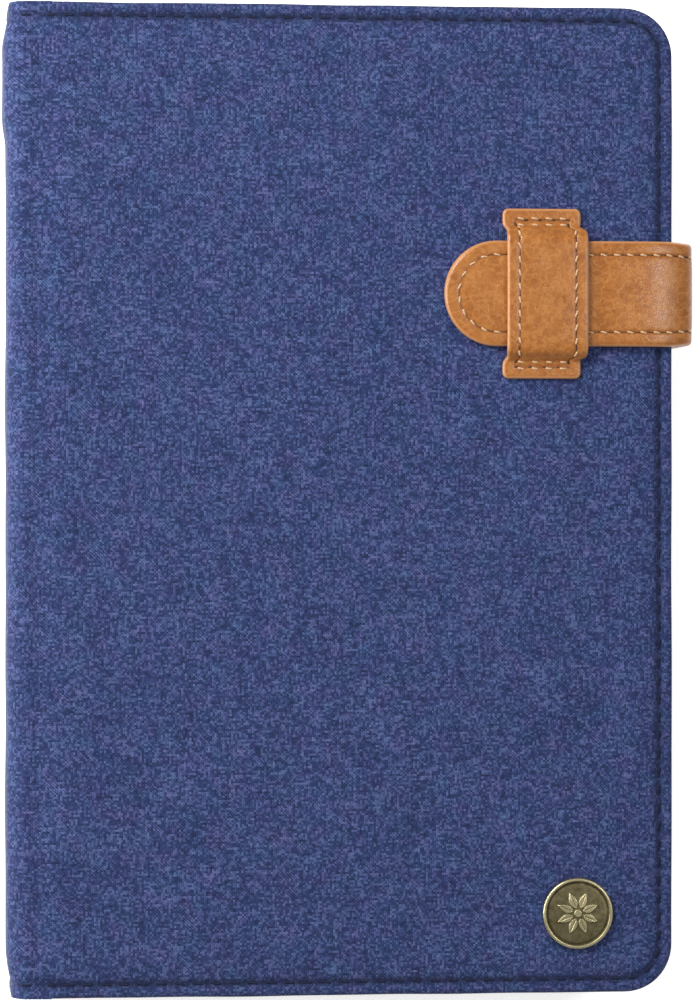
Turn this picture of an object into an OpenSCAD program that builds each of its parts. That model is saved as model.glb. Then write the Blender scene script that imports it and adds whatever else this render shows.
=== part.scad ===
// Book-style case for a 7 to 8 inch tablet, with a wireless keyboard inside its front cover.
// It lies closed on its back: the back cover's outer face is z = 0 and the front cover is on top.
// The spine is along Y on the -X side, the fore-edge is on the +X side, and a leather strap comes
// from the back cover, round the fore-edge and through a keeper loop on the front cover.

/* [Covers] */
// Width of the closed case, from spine to fore-edge
cover_w = 145; // [143:1:150]
// Length of the case along its spine
cover_l = 215; // [213:1:222]
// Thickness of the closed case
case_t = 25; // [25:0.5:27]
// Radius of the two fore-edge corners
corner_r = 10.5; // [7:0.5:13]
// Thickness of the outer fabric
fabric_t = 0.6; // [0.5:0.1:0.7]
// Thickness of the lining cloth
lining_t = 0.5; // [0.4:0.1:0.5]
// Thickness of the stiff board in the back cover
back_board_t = 1.7; // [1.6:0.1:1.8]
// Thickness of the stiff board in the front cover
front_board_t = 1.4; // [1.2:0.1:1.4]
// Thickness of the foam under the front cover's fabric
padding_t = 1.3; // [1:0.1:1.3]
// Width of the fabric hem turned in round each cover
hem_w = 3.4; // [3:0.1:4]
// Distance from the spine's outer face to the covers' boards
groove_in = 6.5; // [5.5:0.5:8]

/* [Strap and keeper loop] */
// Width of the leather strap
strap_w = 23; // [20:0.5:24]
// Thickness of the leather strap
strap_t = 2; // [1.6:0.1:2.2]
// Place of the strap along the spine direction
strap_y = 44.9; // [35:0.1:55]
// Length of strap on the front cover, from the fore-edge to the tip
strap_reach = 50.5; // [45:0.1:52]
// How far the strap stands out from the fore-edge
strap_bulge = 4.6; // [4.4:0.1:6]
// Width of the keeper loop's band
loop_w = 17.5; // [14:0.5:19]
// Length of the keeper loop across the strap
loop_l = 37; // [36:0.5:40]
// Thickness of the keeper loop's leather
loop_t = 1.2; // [1:0.1:1.4]
// Distance from the fore-edge to the middle of the keeper loop
loop_in = 28.4; // [24:0.1:30]

/* [Badge] */
// Diameter of the brass badge
badge_d = 15.5; // [12:0.5:18]
// Distance from the fore-edge to the badge's centre
badge_in_x = 21.2; // [16:0.1:24]
// Distance from the lower edge to the badge's centre
badge_in_y = 17.5; // [14:0.1:22]

/* [Tablet holder] */
// Shortest tablet held by the clamp
tablet_min = 190; // [188:1:192]
// Thickest tablet held under the hooks
tablet_t = 8; // [7:0.25:8]
// Travel of the sliding jaw
jaw_travel = 15; // [10:1:15]
// Width of the plastic tray
tray_w = 90; // [86:1:96]
// Width of each hook
hook_w = 22; // [16:1:22]

/* [Kickstand] */
// Length of the kickstand flap, from its hinge to its free edge
stand_l = 74; // [66:1:76]
// Width of the kickstand flap along the spine direction
stand_w = 120; // [100:1:121]
// Distance from the case's centre line to the flap's hinge
stand_hinge_x = 24; // [20:1:26]

/* [Keyboard] */
// Distance between neighbouring keys along a row
key_pitch = 16; // [15:0.1:16]
// Distance between rows
row_pitch = 15.5; // [15:0.1:15.5]
// Travel of a key
key_travel = 1.3; // [1:0.1:1.3]
// Height of a key above the deck
key_out = 1.2; // [0.8:0.1:1.2]
// Thickness of the keyboard with its tape
keyboard_t = 4.8; // [4.8:0.1:5]

/* [Hidden] */
$fn = 48;

// Colours of the materials
denim = [0.24, 0.28, 0.49];
tan = [0.76, 0.51, 0.29];
lining_grey = [0.20, 0.21, 0.25];
board_grey = [0.55, 0.53, 0.50];
foam_white = [0.86, 0.85, 0.82];
brass = [0.62, 0.52, 0.30];
plastic_black = [0.07, 0.07, 0.08];
key_black = [0.11, 0.11, 0.12];
rubber_grey = [0.25, 0.25, 0.26];
steel = [0.70, 0.71, 0.73];

// Gap between two solids that move past each other
clear = 0.1;
// Something to cut right through a face
over = 1;

// Covers and spine
half_w = cover_w / 2;
half_l = cover_l / 2;
axis_in = 2 * fabric_t;
axis_x = -half_w + axis_in;
low_axis_z = axis_in;
high_axis_z = case_t - axis_in;
back_board_z = fabric_t;
back_lining_z = back_board_z + back_board_t;
back_top_z = back_lining_z + lining_t;
front_fabric_z = case_t - fabric_t;
padding_z = front_fabric_z - padding_t;
front_board_z = padding_z - front_board_t;
front_in_z = front_board_z - lining_t;
board_in = hem_w + 0.2;
board_x = -half_w + groove_in;
hem_x = axis_x + 1.3;
lining_in = 0.6;
spine_board_t = 1.2;
spine_end = 2;
post_r = 1.2;
washer_r = 4.5;
rim_r = 1;
field_h = 1.1;
rosette_r = 3.4;
rosette_h = 1.5;
washer_t = 0.4;

// Strap: an arc at each edge of the case joins the side run to the root and to the tab
root_l = 14.5;
root_t = back_board_t - 0.1;
low_bend_z = 0.4 + strap_bulge;
strap_gap = 0.2;
strap_z = case_t + strap_gap;
bend_in_r = strap_bulge - strap_t;
high_bend_z = strap_z - bend_in_r;
tip_x = half_w - strap_reach;

// Keeper loop
loop_x = half_w - loop_in;
loop_flap = 4.4;
loop_under_z = strap_z + strap_t + 0.3;
loop_slope = 1.8;

// Badge
badge_x = half_w - badge_in_x;
badge_y = -half_l + badge_in_y;

// Tablet holder
tray_t = 0.8;
tray_top_z = back_top_z + tray_t;
jaw_t = 1;
jaw_z = tray_top_z + clear;
rail_w = 2.7;
rail_lip = 2.3;
rest_z = jaw_z + jaw_t + 0.9;
hook_t = 2.5;
lip_z = rest_z + tablet_t;
lip_t = 1.1;
lip_out = 2.5;
fixed_face_y = -102;
jaw_face_y = fixed_face_y + tablet_min;
hook_x = 31;
tray_x = tray_w / 2;
rail_y0 = 10;
tray_y1 = 72;
jaw_engage = 25;
jaw_y0 = tray_y1 - jaw_travel - jaw_engage;
pad_t = 0.8;
spring_x = 18;
spring_r = 0.9;
spring_z = tray_top_z + clear + spring_r;
spring_loop_z = jaw_z + jaw_t + 0.4;
wire_r = 0.2;
lead_r = 0.15;
coil_lap = 0.5;
peg_r = 1;
tray_peg_y = 8;
jaw_peg_y = jaw_y0 + 2.5;
rib_ys = [-75, -40, -5];
rivet_x = 35;
rivet_ys = [-85, 66];
rivet_r = 1.2;
rivet_head_r = 2.2;
rivet_head_t = 0.45;

// Kickstand
stand_gap = 0.6;
stand_x0 = stand_hinge_x - stand_l;
magnet_r = 4;
magnet_t = 1;
magnet_x = stand_x0 + 9;
magnet_y = 45;
catch_t = 0.5;

// Keyboard: the deck faces down towards the tablet while the case is closed
deck_z = front_in_z - keyboard_t;
deck_t = 0.8;
tape_t = 0.2;
floor_t = 0.8;
floor_z = front_in_z - tape_t - floor_t;
shell_x0 = -56;
shell_x1 = 56;
shell_y = 99;
shell_r = 5;
shell_wall = 1.2;
row_widths = [
    [1, 1, 1, 1, 1, 1, 1, 1, 1, 1, 1, 1],
    [1, 1, 1, 1, 1, 1, 1, 1, 1, 1, 1, 1],
    [1.2, 1, 1, 1, 1, 1, 1, 1, 1, 1, 1.8],
    [1.5, 1, 1, 1, 1, 1, 1, 1, 1, 1, 1.5],
    [1.75, 1, 1, 1, 1, 1, 1, 1, 1, 1.25, 1],
    [1, 1, 1, 1.25, 3.75, 1, 1, 1, 1]];
row_units = 12;
space_row = 5;
space_index = 4;
row_x0 = shell_x1 - 2.5 - 6 * row_pitch;
cap_gap = 3;
hole_gap = 2.6;
flange_gap = 1.5;
flange_t = 0.6;
key_face_z = deck_z - key_out;
flange_z = deck_z + deck_t + clear;
mat_t = 0.3;
mat_z = flange_z + flange_t + key_travel + 0.15;
dome_r = 3;
dome_top_r = 1.8;
sheet_y = 97;
sheet_x0 = row_x0 - 0.8;
sheet_x1 = shell_x1 - 1.6;
strip_x = -48;
strip_w = 11;
boss_r = 2.2;
screw_r = 0.8;
screw_head_r = 1.7;
screw_head_t = 0.5;
boss_ys = [-93, 6, 72];
port_w = 7.8;
port_l = 5.6;
port_z0 = deck_z + deck_t + 0.2;
port_z1 = floor_z - 0.2;
board_z0 = port_z0 + 1.2;
pcb_t = 0.8;
pcb_y0 = 13;
switch_y = 40;
switch_w = 3;
switch_l = 4;
switch_travel = 2.5;
button_y = 56;
button_r = 2;
button_travel = 0.5;
led_ys = [22, 26.5, 31];
led_r = 0.8;
bumper_in = 0.5;
bumper_w = 1.6;
bumper_l = 24;
bumper_y = 60;
battery_ys = [-84, -10];
bumper_h = 1.3;

// ---------- Shared shapes ----------

module block(x0, x1, y0, y1, z0, z1) {
    translate([x0, y0, z0])
        cube([x1 - x0, y1 - y0, z1 - z0]);
}

// Rounded rectangle from z0 to z1
module rounded_block(x0, x1, y_half, r, z0, z1) {
    translate([0, 0, z0])
        linear_extrude(z1 - z0) {
            translate([x0 + r, -y_half])
                square([x1 - x0 - 2 * r, 2 * y_half]);
            translate([x0, r - y_half])
                square([x1 - x0, 2 * (y_half - r)]);
            for (x = [x0 + r, x1 - r], y = [r - y_half, y_half - r])
                translate([x, y])
                    circle(r);
        }
}

// Outline of a cover from x0 to the fore-edge, with every edge but the spine's set in by inset
module cover_outline(x0, inset) {
    r = corner_r - inset;
    x1 = half_w - inset;
    y1 = half_l - inset;
    translate([x0, -y1])
        square([x1 - r - x0, 2 * y1]);
    translate([x0, r - y1])
        square([x1 - x0, 2 * (y1 - r)]);
    for (side = [-1, 1])
        translate([x1 - r, side * (y1 - r)])
            circle(r);
}

module cover_sheet(x0, inset, z0, t) {
    translate([0, 0, z0])
        linear_extrude(t)
            cover_outline(x0, inset);
}

// Hem along the fore-edge and both ends of a cover
module hem(z0, t) {
    translate([0, 0, z0])
        linear_extrude(t)
            difference() {
                cover_outline(hem_x, 0);
                cover_outline(hem_x - over, hem_w);
            }
}

// A shape drawn in X and Z, carried along Y
module along_y(y0, y1) {
    translate([0, y1, 0])
        rotate([90, 0, 0])
            linear_extrude(y1 - y0)
                children();
}

// A shape drawn in Y and Z, carried along X
module along_x(x0, x1) {
    translate([x0, 0, 0])
        rotate([90, 0, 90])
            linear_extrude(x1 - x0)
                children();
}

// Quarter of a ring in the quadrant given by the signs sx and sy
module quarter_ring(r_in, r_out, sx, sy) {
    intersection() {
        difference() {
            circle(r_out);
            circle(r_in);
        }
        translate([sx > 0 ? 0 : -r_out - over, sy > 0 ? 0 : -r_out - over])
            square(r_out + over);
    }
}

module peg(x, y, z0, z1, r) {
    translate([x, y, z0])
        cylinder(h = z1 - z0, r = r);
}

// ---------- Back cover ----------

module stand_window(z0, z1) {
    block(stand_x0 - stand_gap, stand_hinge_x, -stand_w / 2 - stand_gap, stand_w / 2 + stand_gap,
        z0, z1);
}

module strap_root_slot() {
    block(half_w - root_l - 0.3, half_w + over, strap_y - strap_w / 2 - 0.2,
        strap_y + strap_w / 2 + 0.2, back_board_z, back_lining_z);
}

module rivet_holes(r, z0, z1) {
    for (x = [-rivet_x, rivet_x], y = rivet_ys)
        peg(x, y, z0, z1, r);
}

module back_outer_fabric() {
    color(denim)
        difference() {
            union() {
                cover_sheet(axis_x, 0, 0, fabric_t);
                hem(fabric_t, back_board_t);
            }
            stand_window(-over, back_lining_z + over);
            strap_root_slot();
        }
}

module back_board() {
    color(board_grey)
        difference() {
            cover_sheet(board_x, board_in, back_board_z, back_board_t);
            stand_window(0, back_lining_z + over);
            strap_root_slot();
            rivet_holes(rivet_r + 0.05, 0, back_top_z);
        }
}

module back_lining() {
    color(lining_grey)
        difference() {
            cover_sheet(hem_x, lining_in, back_lining_z, lining_t);
            rivet_holes(rivet_r + 0.05, 0, back_top_z + over);
        }
}

// ---------- Strap ----------

module strap_root() {
    color(tan)
        block(half_w - root_l, half_w, strap_y - strap_w / 2, strap_y + strap_w / 2,
            back_board_z + 0.05, back_board_z + 0.05 + root_t);
}

module strap_bend(z, sy) {
    along_y(strap_y - strap_w / 2, strap_y + strap_w / 2)
        translate([half_w, z])
            quarter_ring(bend_in_r, strap_bulge, 1, sy);
}

module strap_lower_bend() {
    color(tan)
        strap_bend(low_bend_z, -1);
}

module strap_side() {
    color(tan)
        block(half_w + bend_in_r, half_w + strap_bulge, strap_y - strap_w / 2,
            strap_y + strap_w / 2, low_bend_z, high_bend_z);
}

module strap_upper_bend() {
    color(tan)
        strap_bend(high_bend_z, 1);
}

module strap_tab() {
    color(tan)
        translate([0, strap_y, strap_z])
            linear_extrude(strap_t) {
                translate([tip_x + strap_w / 2, -strap_w / 2])
                    square([strap_reach - strap_w / 2, strap_w]);
                translate([tip_x + strap_w / 2, 0])
                    circle(strap_w / 2);
            }
}

// ---------- Tablet holder ----------

// Two hooks across the end of a tablet: face_y is the face that the tablet meets
module hooks(face_y, way, z0) {
    for (x = [-hook_x, hook_x]) {
        back_y = face_y + way * hook_t;
        lip_y = face_y - way * lip_out;
        block(x - hook_w / 2, x + hook_w / 2, min(face_y, back_y), max(face_y, back_y),
            z0, lip_z + lip_t);
        block(x - hook_w / 2, x + hook_w / 2, min(lip_y, back_y), max(lip_y, back_y),
            lip_z, lip_z + lip_t);
    }
}

module hook_pads(face_y, way) {
    for (x = [-hook_x, hook_x])
        block(x - hook_w / 2 + 3, x + hook_w / 2 - 3, min(face_y, face_y - way * pad_t),
            max(face_y, face_y - way * pad_t), rest_z + 0.8, lip_z - 1);
}

// The jaw's plate runs in a groove under the lip of each rail
module rail(side) {
    outer = tray_x;
    web = outer - rail_w;
    mirror([side < 0 ? 1 : 0, 0, 0]) {
        block(web, outer, rail_y0, tray_y1, tray_top_z, rest_z);
        block(web - rail_lip, outer, rail_y0, tray_y1, jaw_z + jaw_t + clear, rest_z);
        block(web, outer, fixed_face_y - hook_t, rail_y0, tray_top_z, rest_z);
    }
}

module tray_base() {
    color(plastic_black)
        difference() {
            union() {
                block(-tray_x, tray_x, fixed_face_y - hook_t, tray_y1, back_top_z, tray_top_z);
                rail(-1);
                rail(1);
                hooks(fixed_face_y, -1, back_top_z);
                for (y = rib_ys)
                    block(-tray_x + rail_w, tray_x - rail_w, y - 1, y + 1, tray_top_z, rest_z);
                for (x = [-spring_x, spring_x])
                    peg(x, tray_peg_y, tray_top_z, rest_z - 0.1, peg_r);
            }
            for (y = [-magnet_y, magnet_y])
                peg(magnet_x, y, back_top_z - over, back_top_z + catch_t, magnet_r + 0.55);
            rivet_holes(rivet_r + 0.05, back_top_z - over, tray_top_z + over);
            rivet_holes(rivet_head_r + 0.1, tray_top_z - rivet_head_t, tray_top_z + over);
        }
}

module tray_pads() {
    color(rubber_grey)
        hook_pads(fixed_face_y, -1);
}

module tray_rivets() {
    color(steel) {
        rivet_holes(rivet_r, back_board_z + 0.05, tray_top_z - rivet_head_t);
        rivet_holes(rivet_head_r, tray_top_z - rivet_head_t, tray_top_z);
    }
}

module catch_plates() {
    color(steel)
        for (y = [-magnet_y, magnet_y])
            peg(magnet_x, y, back_top_z, back_top_z + catch_t - 0.05, magnet_r + 0.5);
}

module sliding_jaw() {
    plate_x = tray_x - rail_w - 0.3;
    color(plastic_black) {
        block(-plate_x, plate_x, jaw_y0, jaw_face_y + hook_t, jaw_z, jaw_z + jaw_t);
        hooks(jaw_face_y, 1, jaw_z);
        for (x = [-spring_x, spring_x])
            peg(x, jaw_peg_y, jaw_z + jaw_t, rest_z - 0.1, peg_r);
    }
}

module jaw_pads() {
    color(rubber_grey)
        hook_pads(jaw_face_y, 1);
}

// Tension spring with a loop round the tray's peg and one round the jaw's peg.
// Its straight leads are thinner than the loops, so that no two surfaces only touch.
module jaw_spring(x) {
    coil_y0 = tray_peg_y + peg_r + 1.5;
    coil_y1 = jaw_y0 - 1.5;
    color(steel) {
        translate([x, coil_y1, spring_z])
            rotate([90, 0, 0])
                cylinder(h = coil_y1 - coil_y0, r = spring_r);
        for (y = [tray_peg_y, jaw_peg_y])
            translate([x, y, spring_loop_z])
                rotate_extrude()
                    translate([peg_r + wire_r + 0.05, 0])
                        circle(wire_r);
        for (end = [[tray_peg_y + peg_r + wire_r, coil_y0 + coil_lap],
                [coil_y1 - coil_lap, jaw_peg_y - peg_r - wire_r]])
            translate([x, end[1], spring_loop_z])
                rotate([90, 0, 0])
                    cylinder(h = end[1] - end[0], r = lead_r);
    }
}

module jaw_spring_left() {
    jaw_spring(-spring_x);
}

module jaw_spring_right() {
    jaw_spring(spring_x);
}

// ---------- Kickstand ----------

module stand_sheet(z0, t) {
    block(stand_x0, stand_hinge_x - stand_gap, -stand_w / 2, stand_w / 2, z0, z0 + t);
}

module magnets(r, z0, z1) {
    for (y = [-magnet_y, magnet_y])
        peg(magnet_x, y, z0, z1, r);
}

module kickstand_fabric() {
    color(denim)
        stand_sheet(0, fabric_t);
}

module kickstand_board() {
    color(board_grey)
        difference() {
            stand_sheet(back_board_z, back_board_t - 0.1);
            magnets(magnet_r + 0.05, back_lining_z - 0.1 - magnet_t, back_lining_z + over);
        }
}

module kickstand_magnets() {
    color(steel)
        magnets(magnet_r, back_lining_z - 0.1 - magnet_t, back_lining_z - 0.1);
}

module kickstand_hinge_cloth() {
    color(denim)
        block(stand_hinge_x - stand_gap, stand_hinge_x, -stand_w / 2, stand_w / 2, 0, fabric_t);
}

// ---------- Spine ----------

module spine_fabric() {
    color(denim)
        block(-half_w, -half_w + fabric_t, -half_l, half_l, low_axis_z, high_axis_z);
}

module spine_board() {
    x0 = -half_w + fabric_t;
    color(board_grey)
        block(x0, x0 + spine_board_t, -half_l + hem_w, half_l - hem_w,
            low_axis_z + spine_end, high_axis_z - spine_end);
}

module spine_lining() {
    x0 = -half_w + fabric_t + spine_board_t;
    color(lining_grey)
        block(x0, x0 + lining_t - 0.1, -half_l + lining_in, half_l - lining_in,
            low_axis_z + spine_end - 0.2, high_axis_z - spine_end + 0.2);
}

module hinge_cloth(z, sy) {
    along_y(-half_l, half_l)
        translate([axis_x, z])
            quarter_ring(axis_in - fabric_t, axis_in, -1, sy);
}

module hinge_cloth_back() {
    color(denim)
        hinge_cloth(low_axis_z, -1);
}

module hinge_cloth_front() {
    color(denim)
        hinge_cloth(high_axis_z, 1);
}

// ---------- Front cover ----------

module badge_hole(r, z0, z1) {
    peg(badge_x, badge_y, z0, z1, r);
}

module front_outer_fabric() {
    color(denim)
        difference() {
            union() {
                cover_sheet(axis_x, 0, front_fabric_z, fabric_t);
                hem(front_board_z, front_fabric_z - front_board_z);
            }
            badge_hole(post_r + 0.05, front_board_z, case_t + over);
        }
}

module front_padding() {
    color(foam_white)
        difference() {
            cover_sheet(board_x, board_in, padding_z, padding_t);
            badge_hole(post_r + 0.05, padding_z - over, case_t);
        }
}

module front_board() {
    color(board_grey)
        difference() {
            cover_sheet(board_x, board_in, front_board_z, front_board_t);
            badge_hole(post_r + 0.05, front_board_z - over, case_t);
            badge_hole(washer_r + 0.05, front_board_z - over, front_board_z + washer_t);
        }
}

module front_lining() {
    color(lining_grey)
        cover_sheet(hem_x, lining_in, front_in_z, lining_t);
}

// Band across the strap, with a flap sewn down at each end
module keeper_loop() {
    h = loop_l / 2;
    foot = h - loop_flap;
    crown = foot - loop_slope;
    top_z = loop_under_z + loop_t;
    color(tan)
        along_x(loop_x - loop_w / 2, loop_x + loop_w / 2)
            translate([strap_y, 0])
                polygon([[-h, case_t], [-foot, case_t], [-crown, loop_under_z],
                    [crown, loop_under_z], [foot, case_t], [h, case_t], [h, case_t + loop_t],
                    [foot + 0.4, case_t + loop_t], [crown + 0.4, top_z], [-crown - 0.4, top_z],
                    [-foot - 0.4, case_t + loop_t], [-h, case_t + loop_t]]);
}

// Pressed cap: a rolled rim round a dished field with a raised rosette in the middle
module badge_cap() {
    r = badge_d / 2;
    color(brass)
        translate([badge_x, badge_y, case_t])
            rotate_extrude() {
                square([r - rim_r, field_h]);
                translate([r - rim_r, rim_r])
                    circle(rim_r);
                translate([r - 1.9 * rim_r, 0])
                    square([1.6 * rim_r, 0.9 * rim_r]);
                square([rosette_r, rosette_h]);
            }
}

module badge_post() {
    color(steel)
        badge_hole(post_r, front_board_z + washer_t, case_t);
}

module badge_washer() {
    color(steel)
        badge_hole(washer_r, front_board_z, front_board_z + washer_t);
}

// ---------- Keyboard ----------

// Sum of the first n widths of a row
function run(widths, n) = n == 0 ? 0 : widths[n - 1] + run(widths, n - 1);

// Middle of key i along its row, from the user's left, which is +Y
function key_y(widths, i) = (row_units / 2 - run(widths, i) - widths[i] / 2) * key_pitch;

function row_x(row) = row_x0 + (row + 0.5) * row_pitch;

// A block at each key of a row, smaller than the key's share of the deck by gap
module key_blocks(row, keys, gap, z0, z1) {
    widths = row_widths[row];
    for (i = keys) {
        half = (widths[i] * key_pitch - gap) / 2;
        y = key_y(widths, i);
        block(row_x(row) - (row_pitch - gap) / 2, row_x(row) + (row_pitch - gap) / 2,
            y - half, y + half, z0, z1);
    }
}

module keys(row, list) {
    color(key_black) {
        key_blocks(row, list, cap_gap, key_face_z, flange_z);
        key_blocks(row, list, flange_gap, flange_z, flange_z + flange_t);
    }
}

function whole_row(row) = [for (i = [0 : len(row_widths[row]) - 1]) i];

module keys_row_1() {
    keys(0, whole_row(0));
}

module keys_row_2() {
    keys(1, whole_row(1));
}

module keys_row_3() {
    keys(2, whole_row(2));
}

module keys_row_4() {
    keys(3, whole_row(3));
}

module keys_row_5() {
    keys(4, whole_row(4));
}

module keys_row_6() {
    keys(space_row, [for (i = whole_row(space_row)) if (i != space_index) i]);
}

module space_bar() {
    keys(space_row, [space_index]);
}

module keyboard_tape() {
    color(foam_white)
        rounded_block(shell_x0 + 3, shell_x1 - 3, shell_y - 3, shell_r - 2, front_in_z - tape_t,
            front_in_z);
}

module strip_holes(r, ys, z0, z1) {
    for (y = ys)
        peg(strip_x, y, z0, z1, r);
}

module port_space(gap) {
    block(strip_x - port_w / 2 - gap, strip_x + port_w / 2 + gap, shell_y - port_l - gap,
        shell_y + over, port_z0 - gap, port_z1 + gap);
}

module keyboard_bottom_case() {
    color(plastic_black)
        difference() {
            rounded_block(shell_x0, shell_x1, shell_y, shell_r, deck_z + deck_t, floor_z + floor_t);
            rounded_block(shell_x0 + shell_wall, shell_x1 - shell_wall, shell_y - shell_wall,
                shell_r - shell_wall, deck_z, floor_z);
            port_space(0.1);
            strip_holes(screw_r + 0.1, boss_ys, deck_z, front_in_z);
            strip_holes(screw_head_r + 0.1, boss_ys, floor_z + floor_t - screw_head_t - 0.05,
                front_in_z);
        }
}

module keyboard_top_case() {
    color(plastic_black)
        difference() {
            union() {
                rounded_block(shell_x0, shell_x1, shell_y, shell_r, deck_z, deck_z + deck_t);
                strip_holes(boss_r, boss_ys, deck_z + deck_t, floor_z);
            }
            for (row = [0 : 5])
                key_blocks(row, whole_row(row), hole_gap, deck_z - over, flange_z);
            strip_holes(screw_r + 0.05, boss_ys, deck_z + deck_t, floor_z + over);
            strip_holes(led_r + 0.05, led_ys, deck_z - over, flange_z);
            strip_holes(button_r + 0.1, [button_y], deck_z - over, flange_z);
            block(strip_x - switch_w / 2 - 0.1, strip_x + switch_w / 2 + 0.1,
                switch_y - switch_l / 2 - 0.2, switch_y + switch_l / 2 + switch_travel + 0.2,
                deck_z - over, flange_z);
        }
}

module keyboard_screws() {
    head_z = floor_z + floor_t - screw_head_t;
    color(steel) {
        strip_holes(screw_r, boss_ys, deck_z + deck_t + 0.4, head_z);
        strip_holes(screw_head_r, boss_ys, head_z, floor_z + floor_t);
    }
}

module dome_mat() {
    color(rubber_grey) {
        block(sheet_x0, sheet_x1, -sheet_y, sheet_y, mat_z, mat_z + mat_t);
        for (row = [0 : 5], i = whole_row(row))
            translate([row_x(row), key_y(row_widths[row], i), flange_z + flange_t + 0.05])
                cylinder(h = mat_z - flange_z - flange_t, r1 = dome_top_r, r2 = dome_r);
    }
}

module key_membrane() {
    color(foam_white)
        block(sheet_x0, sheet_x1, -sheet_y, sheet_y, mat_z + mat_t, floor_z);
}

module control_board() {
    color("darkgreen")
        difference() {
            union() {
                block(strip_x - strip_w / 2, strip_x + strip_w / 2, pcb_y0, shell_y - port_l - 0.1,
                    board_z0, board_z0 + pcb_t);
                block(strip_x - 2.5, strip_x + 2.5, switch_y - 3.5, switch_y + 6,
                    board_z0 - 0.5, board_z0);
                block(strip_x - 2.5, strip_x + 2.5, button_y - 2.5, button_y + 2.5,
                    board_z0 - 0.3, board_z0);
            }
            strip_holes(boss_r + 0.2, boss_ys, deck_z, floor_z);
        }
}

module battery() {
    color("silver")
        block(strip_x - strip_w / 2, strip_x + strip_w / 2, battery_ys[0], battery_ys[1],
            deck_z + deck_t + 0.15, floor_z - clear);
}

// Open metal shell with a tongue inside
module charging_port() {
    wall = 0.35;
    mid_z = (port_z0 + port_z1) / 2;
    color(steel)
        difference() {
            block(strip_x - port_w / 2, strip_x + port_w / 2, shell_y - port_l, shell_y,
                port_z0, port_z1);
            difference() {
                block(strip_x - port_w / 2 + wall, strip_x + port_w / 2 - wall,
                    shell_y - port_l + 1, shell_y + over, port_z0 + wall, port_z1 - wall);
                block(strip_x - 1.9, strip_x + 1.9, shell_y - port_l, shell_y - 0.8,
                    mid_z - 0.3, mid_z + 0.3);
            }
        }
}

module status_leds() {
    color("white")
        strip_holes(led_r, led_ys, deck_z, deck_z + deck_t + 0.3);
}

module rest_bumpers() {
    color(rubber_grey)
        for (y = [-bumper_y, bumper_y]) {
            block(shell_x1 - bumper_in - bumper_w, shell_x1 - bumper_in, y - bumper_l / 2,
                y + bumper_l / 2, deck_z - bumper_h, deck_z);
            block(shell_x0 + bumper_in, shell_x0 + bumper_in + bumper_w, y - bumper_l / 2,
                y + bumper_l / 2, deck_z - bumper_h, deck_z);
        }
}

module power_switch() {
    color(key_black)
        difference() {
            block(strip_x - switch_w / 2, strip_x + switch_w / 2, switch_y - switch_l / 2,
                switch_y + switch_l / 2, deck_z - 0.7, board_z0 - 0.6);
            for (y = [-1, 0, 1])
                block(strip_x - switch_w, strip_x + switch_w, switch_y + y - 0.2,
                    switch_y + y + 0.2, deck_z - over, deck_z - 0.45);
        }
}

module connect_button() {
    color(key_black)
        strip_holes(button_r, [button_y], deck_z - 0.5, board_z0 - 0.3 - button_travel - clear);
}

back_outer_fabric();
back_board();
back_lining();
strap_root();
tray_base();
tray_pads();
tray_rivets();
catch_plates();
jaw_spring_left();
jaw_spring_right();
sliding_jaw();
jaw_pads();
kickstand_fabric();
kickstand_board();
kickstand_magnets();
kickstand_hinge_cloth();
spine_fabric();
spine_board();
spine_lining();
hinge_cloth_back();
hinge_cloth_front();
front_outer_fabric();
front_padding();
front_board();
front_lining();
keeper_loop();
badge_cap();
badge_post();
badge_washer();
strap_lower_bend();
strap_side();
strap_upper_bend();
strap_tab();
keyboard_tape();
keyboard_bottom_case();
keyboard_top_case();
keyboard_screws();
key_membrane();
dome_mat();
control_board();
battery();
charging_port();
status_leds();
rest_bumpers();
keys_row_1();
keys_row_2();
keys_row_3();
keys_row_4();
keys_row_5();
keys_row_6();
space_bar();
power_switch();
connect_button();
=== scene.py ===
"""Book-style tablet keyboard case: canvas covers, leather strap and keeper loop, brass badge,
clamping tablet tray, kickstand and a thin keyboard inside the front cover."""

import math

import bmesh
import bpy
import numpy as np
from mathutils import Matrix, Vector


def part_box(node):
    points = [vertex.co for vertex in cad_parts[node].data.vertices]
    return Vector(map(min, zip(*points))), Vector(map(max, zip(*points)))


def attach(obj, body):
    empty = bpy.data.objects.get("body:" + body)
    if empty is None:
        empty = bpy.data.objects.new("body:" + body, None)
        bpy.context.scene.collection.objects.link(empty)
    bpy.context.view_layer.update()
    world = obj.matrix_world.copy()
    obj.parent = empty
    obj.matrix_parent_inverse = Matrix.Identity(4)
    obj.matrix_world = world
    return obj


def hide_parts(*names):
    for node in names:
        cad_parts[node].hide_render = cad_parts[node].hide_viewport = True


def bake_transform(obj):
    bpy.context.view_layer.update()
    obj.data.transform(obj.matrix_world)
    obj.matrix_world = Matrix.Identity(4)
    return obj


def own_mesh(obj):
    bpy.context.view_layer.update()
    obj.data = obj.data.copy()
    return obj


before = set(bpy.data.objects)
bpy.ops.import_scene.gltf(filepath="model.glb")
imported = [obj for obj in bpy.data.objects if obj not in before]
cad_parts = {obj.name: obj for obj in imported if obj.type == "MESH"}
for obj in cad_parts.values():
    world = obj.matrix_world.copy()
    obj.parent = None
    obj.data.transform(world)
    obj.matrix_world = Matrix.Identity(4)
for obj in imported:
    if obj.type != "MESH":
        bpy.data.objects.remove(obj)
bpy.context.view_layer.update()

bl_info = {
    "name": "Tablet keyboard case",
    "version": (1, 0, 0),
    "blender": (4, 5, 0),
    "location": "View3D > Sidebar > Case",
    "description": "Covers, strap, badge, tablet holder and keyboard of a book-style tablet case",
    "category": "Object",
}

MM = 0.001
UP = np.array([0.0, 0.0, 1.0])
ACROSS = np.array([0.0, 1.0, 0.0])


def node_box(name):
    """Lowest and highest corners of a node, in millimetres."""
    low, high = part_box(name)
    return np.array(low) / MM, np.array(high) / MM


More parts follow.
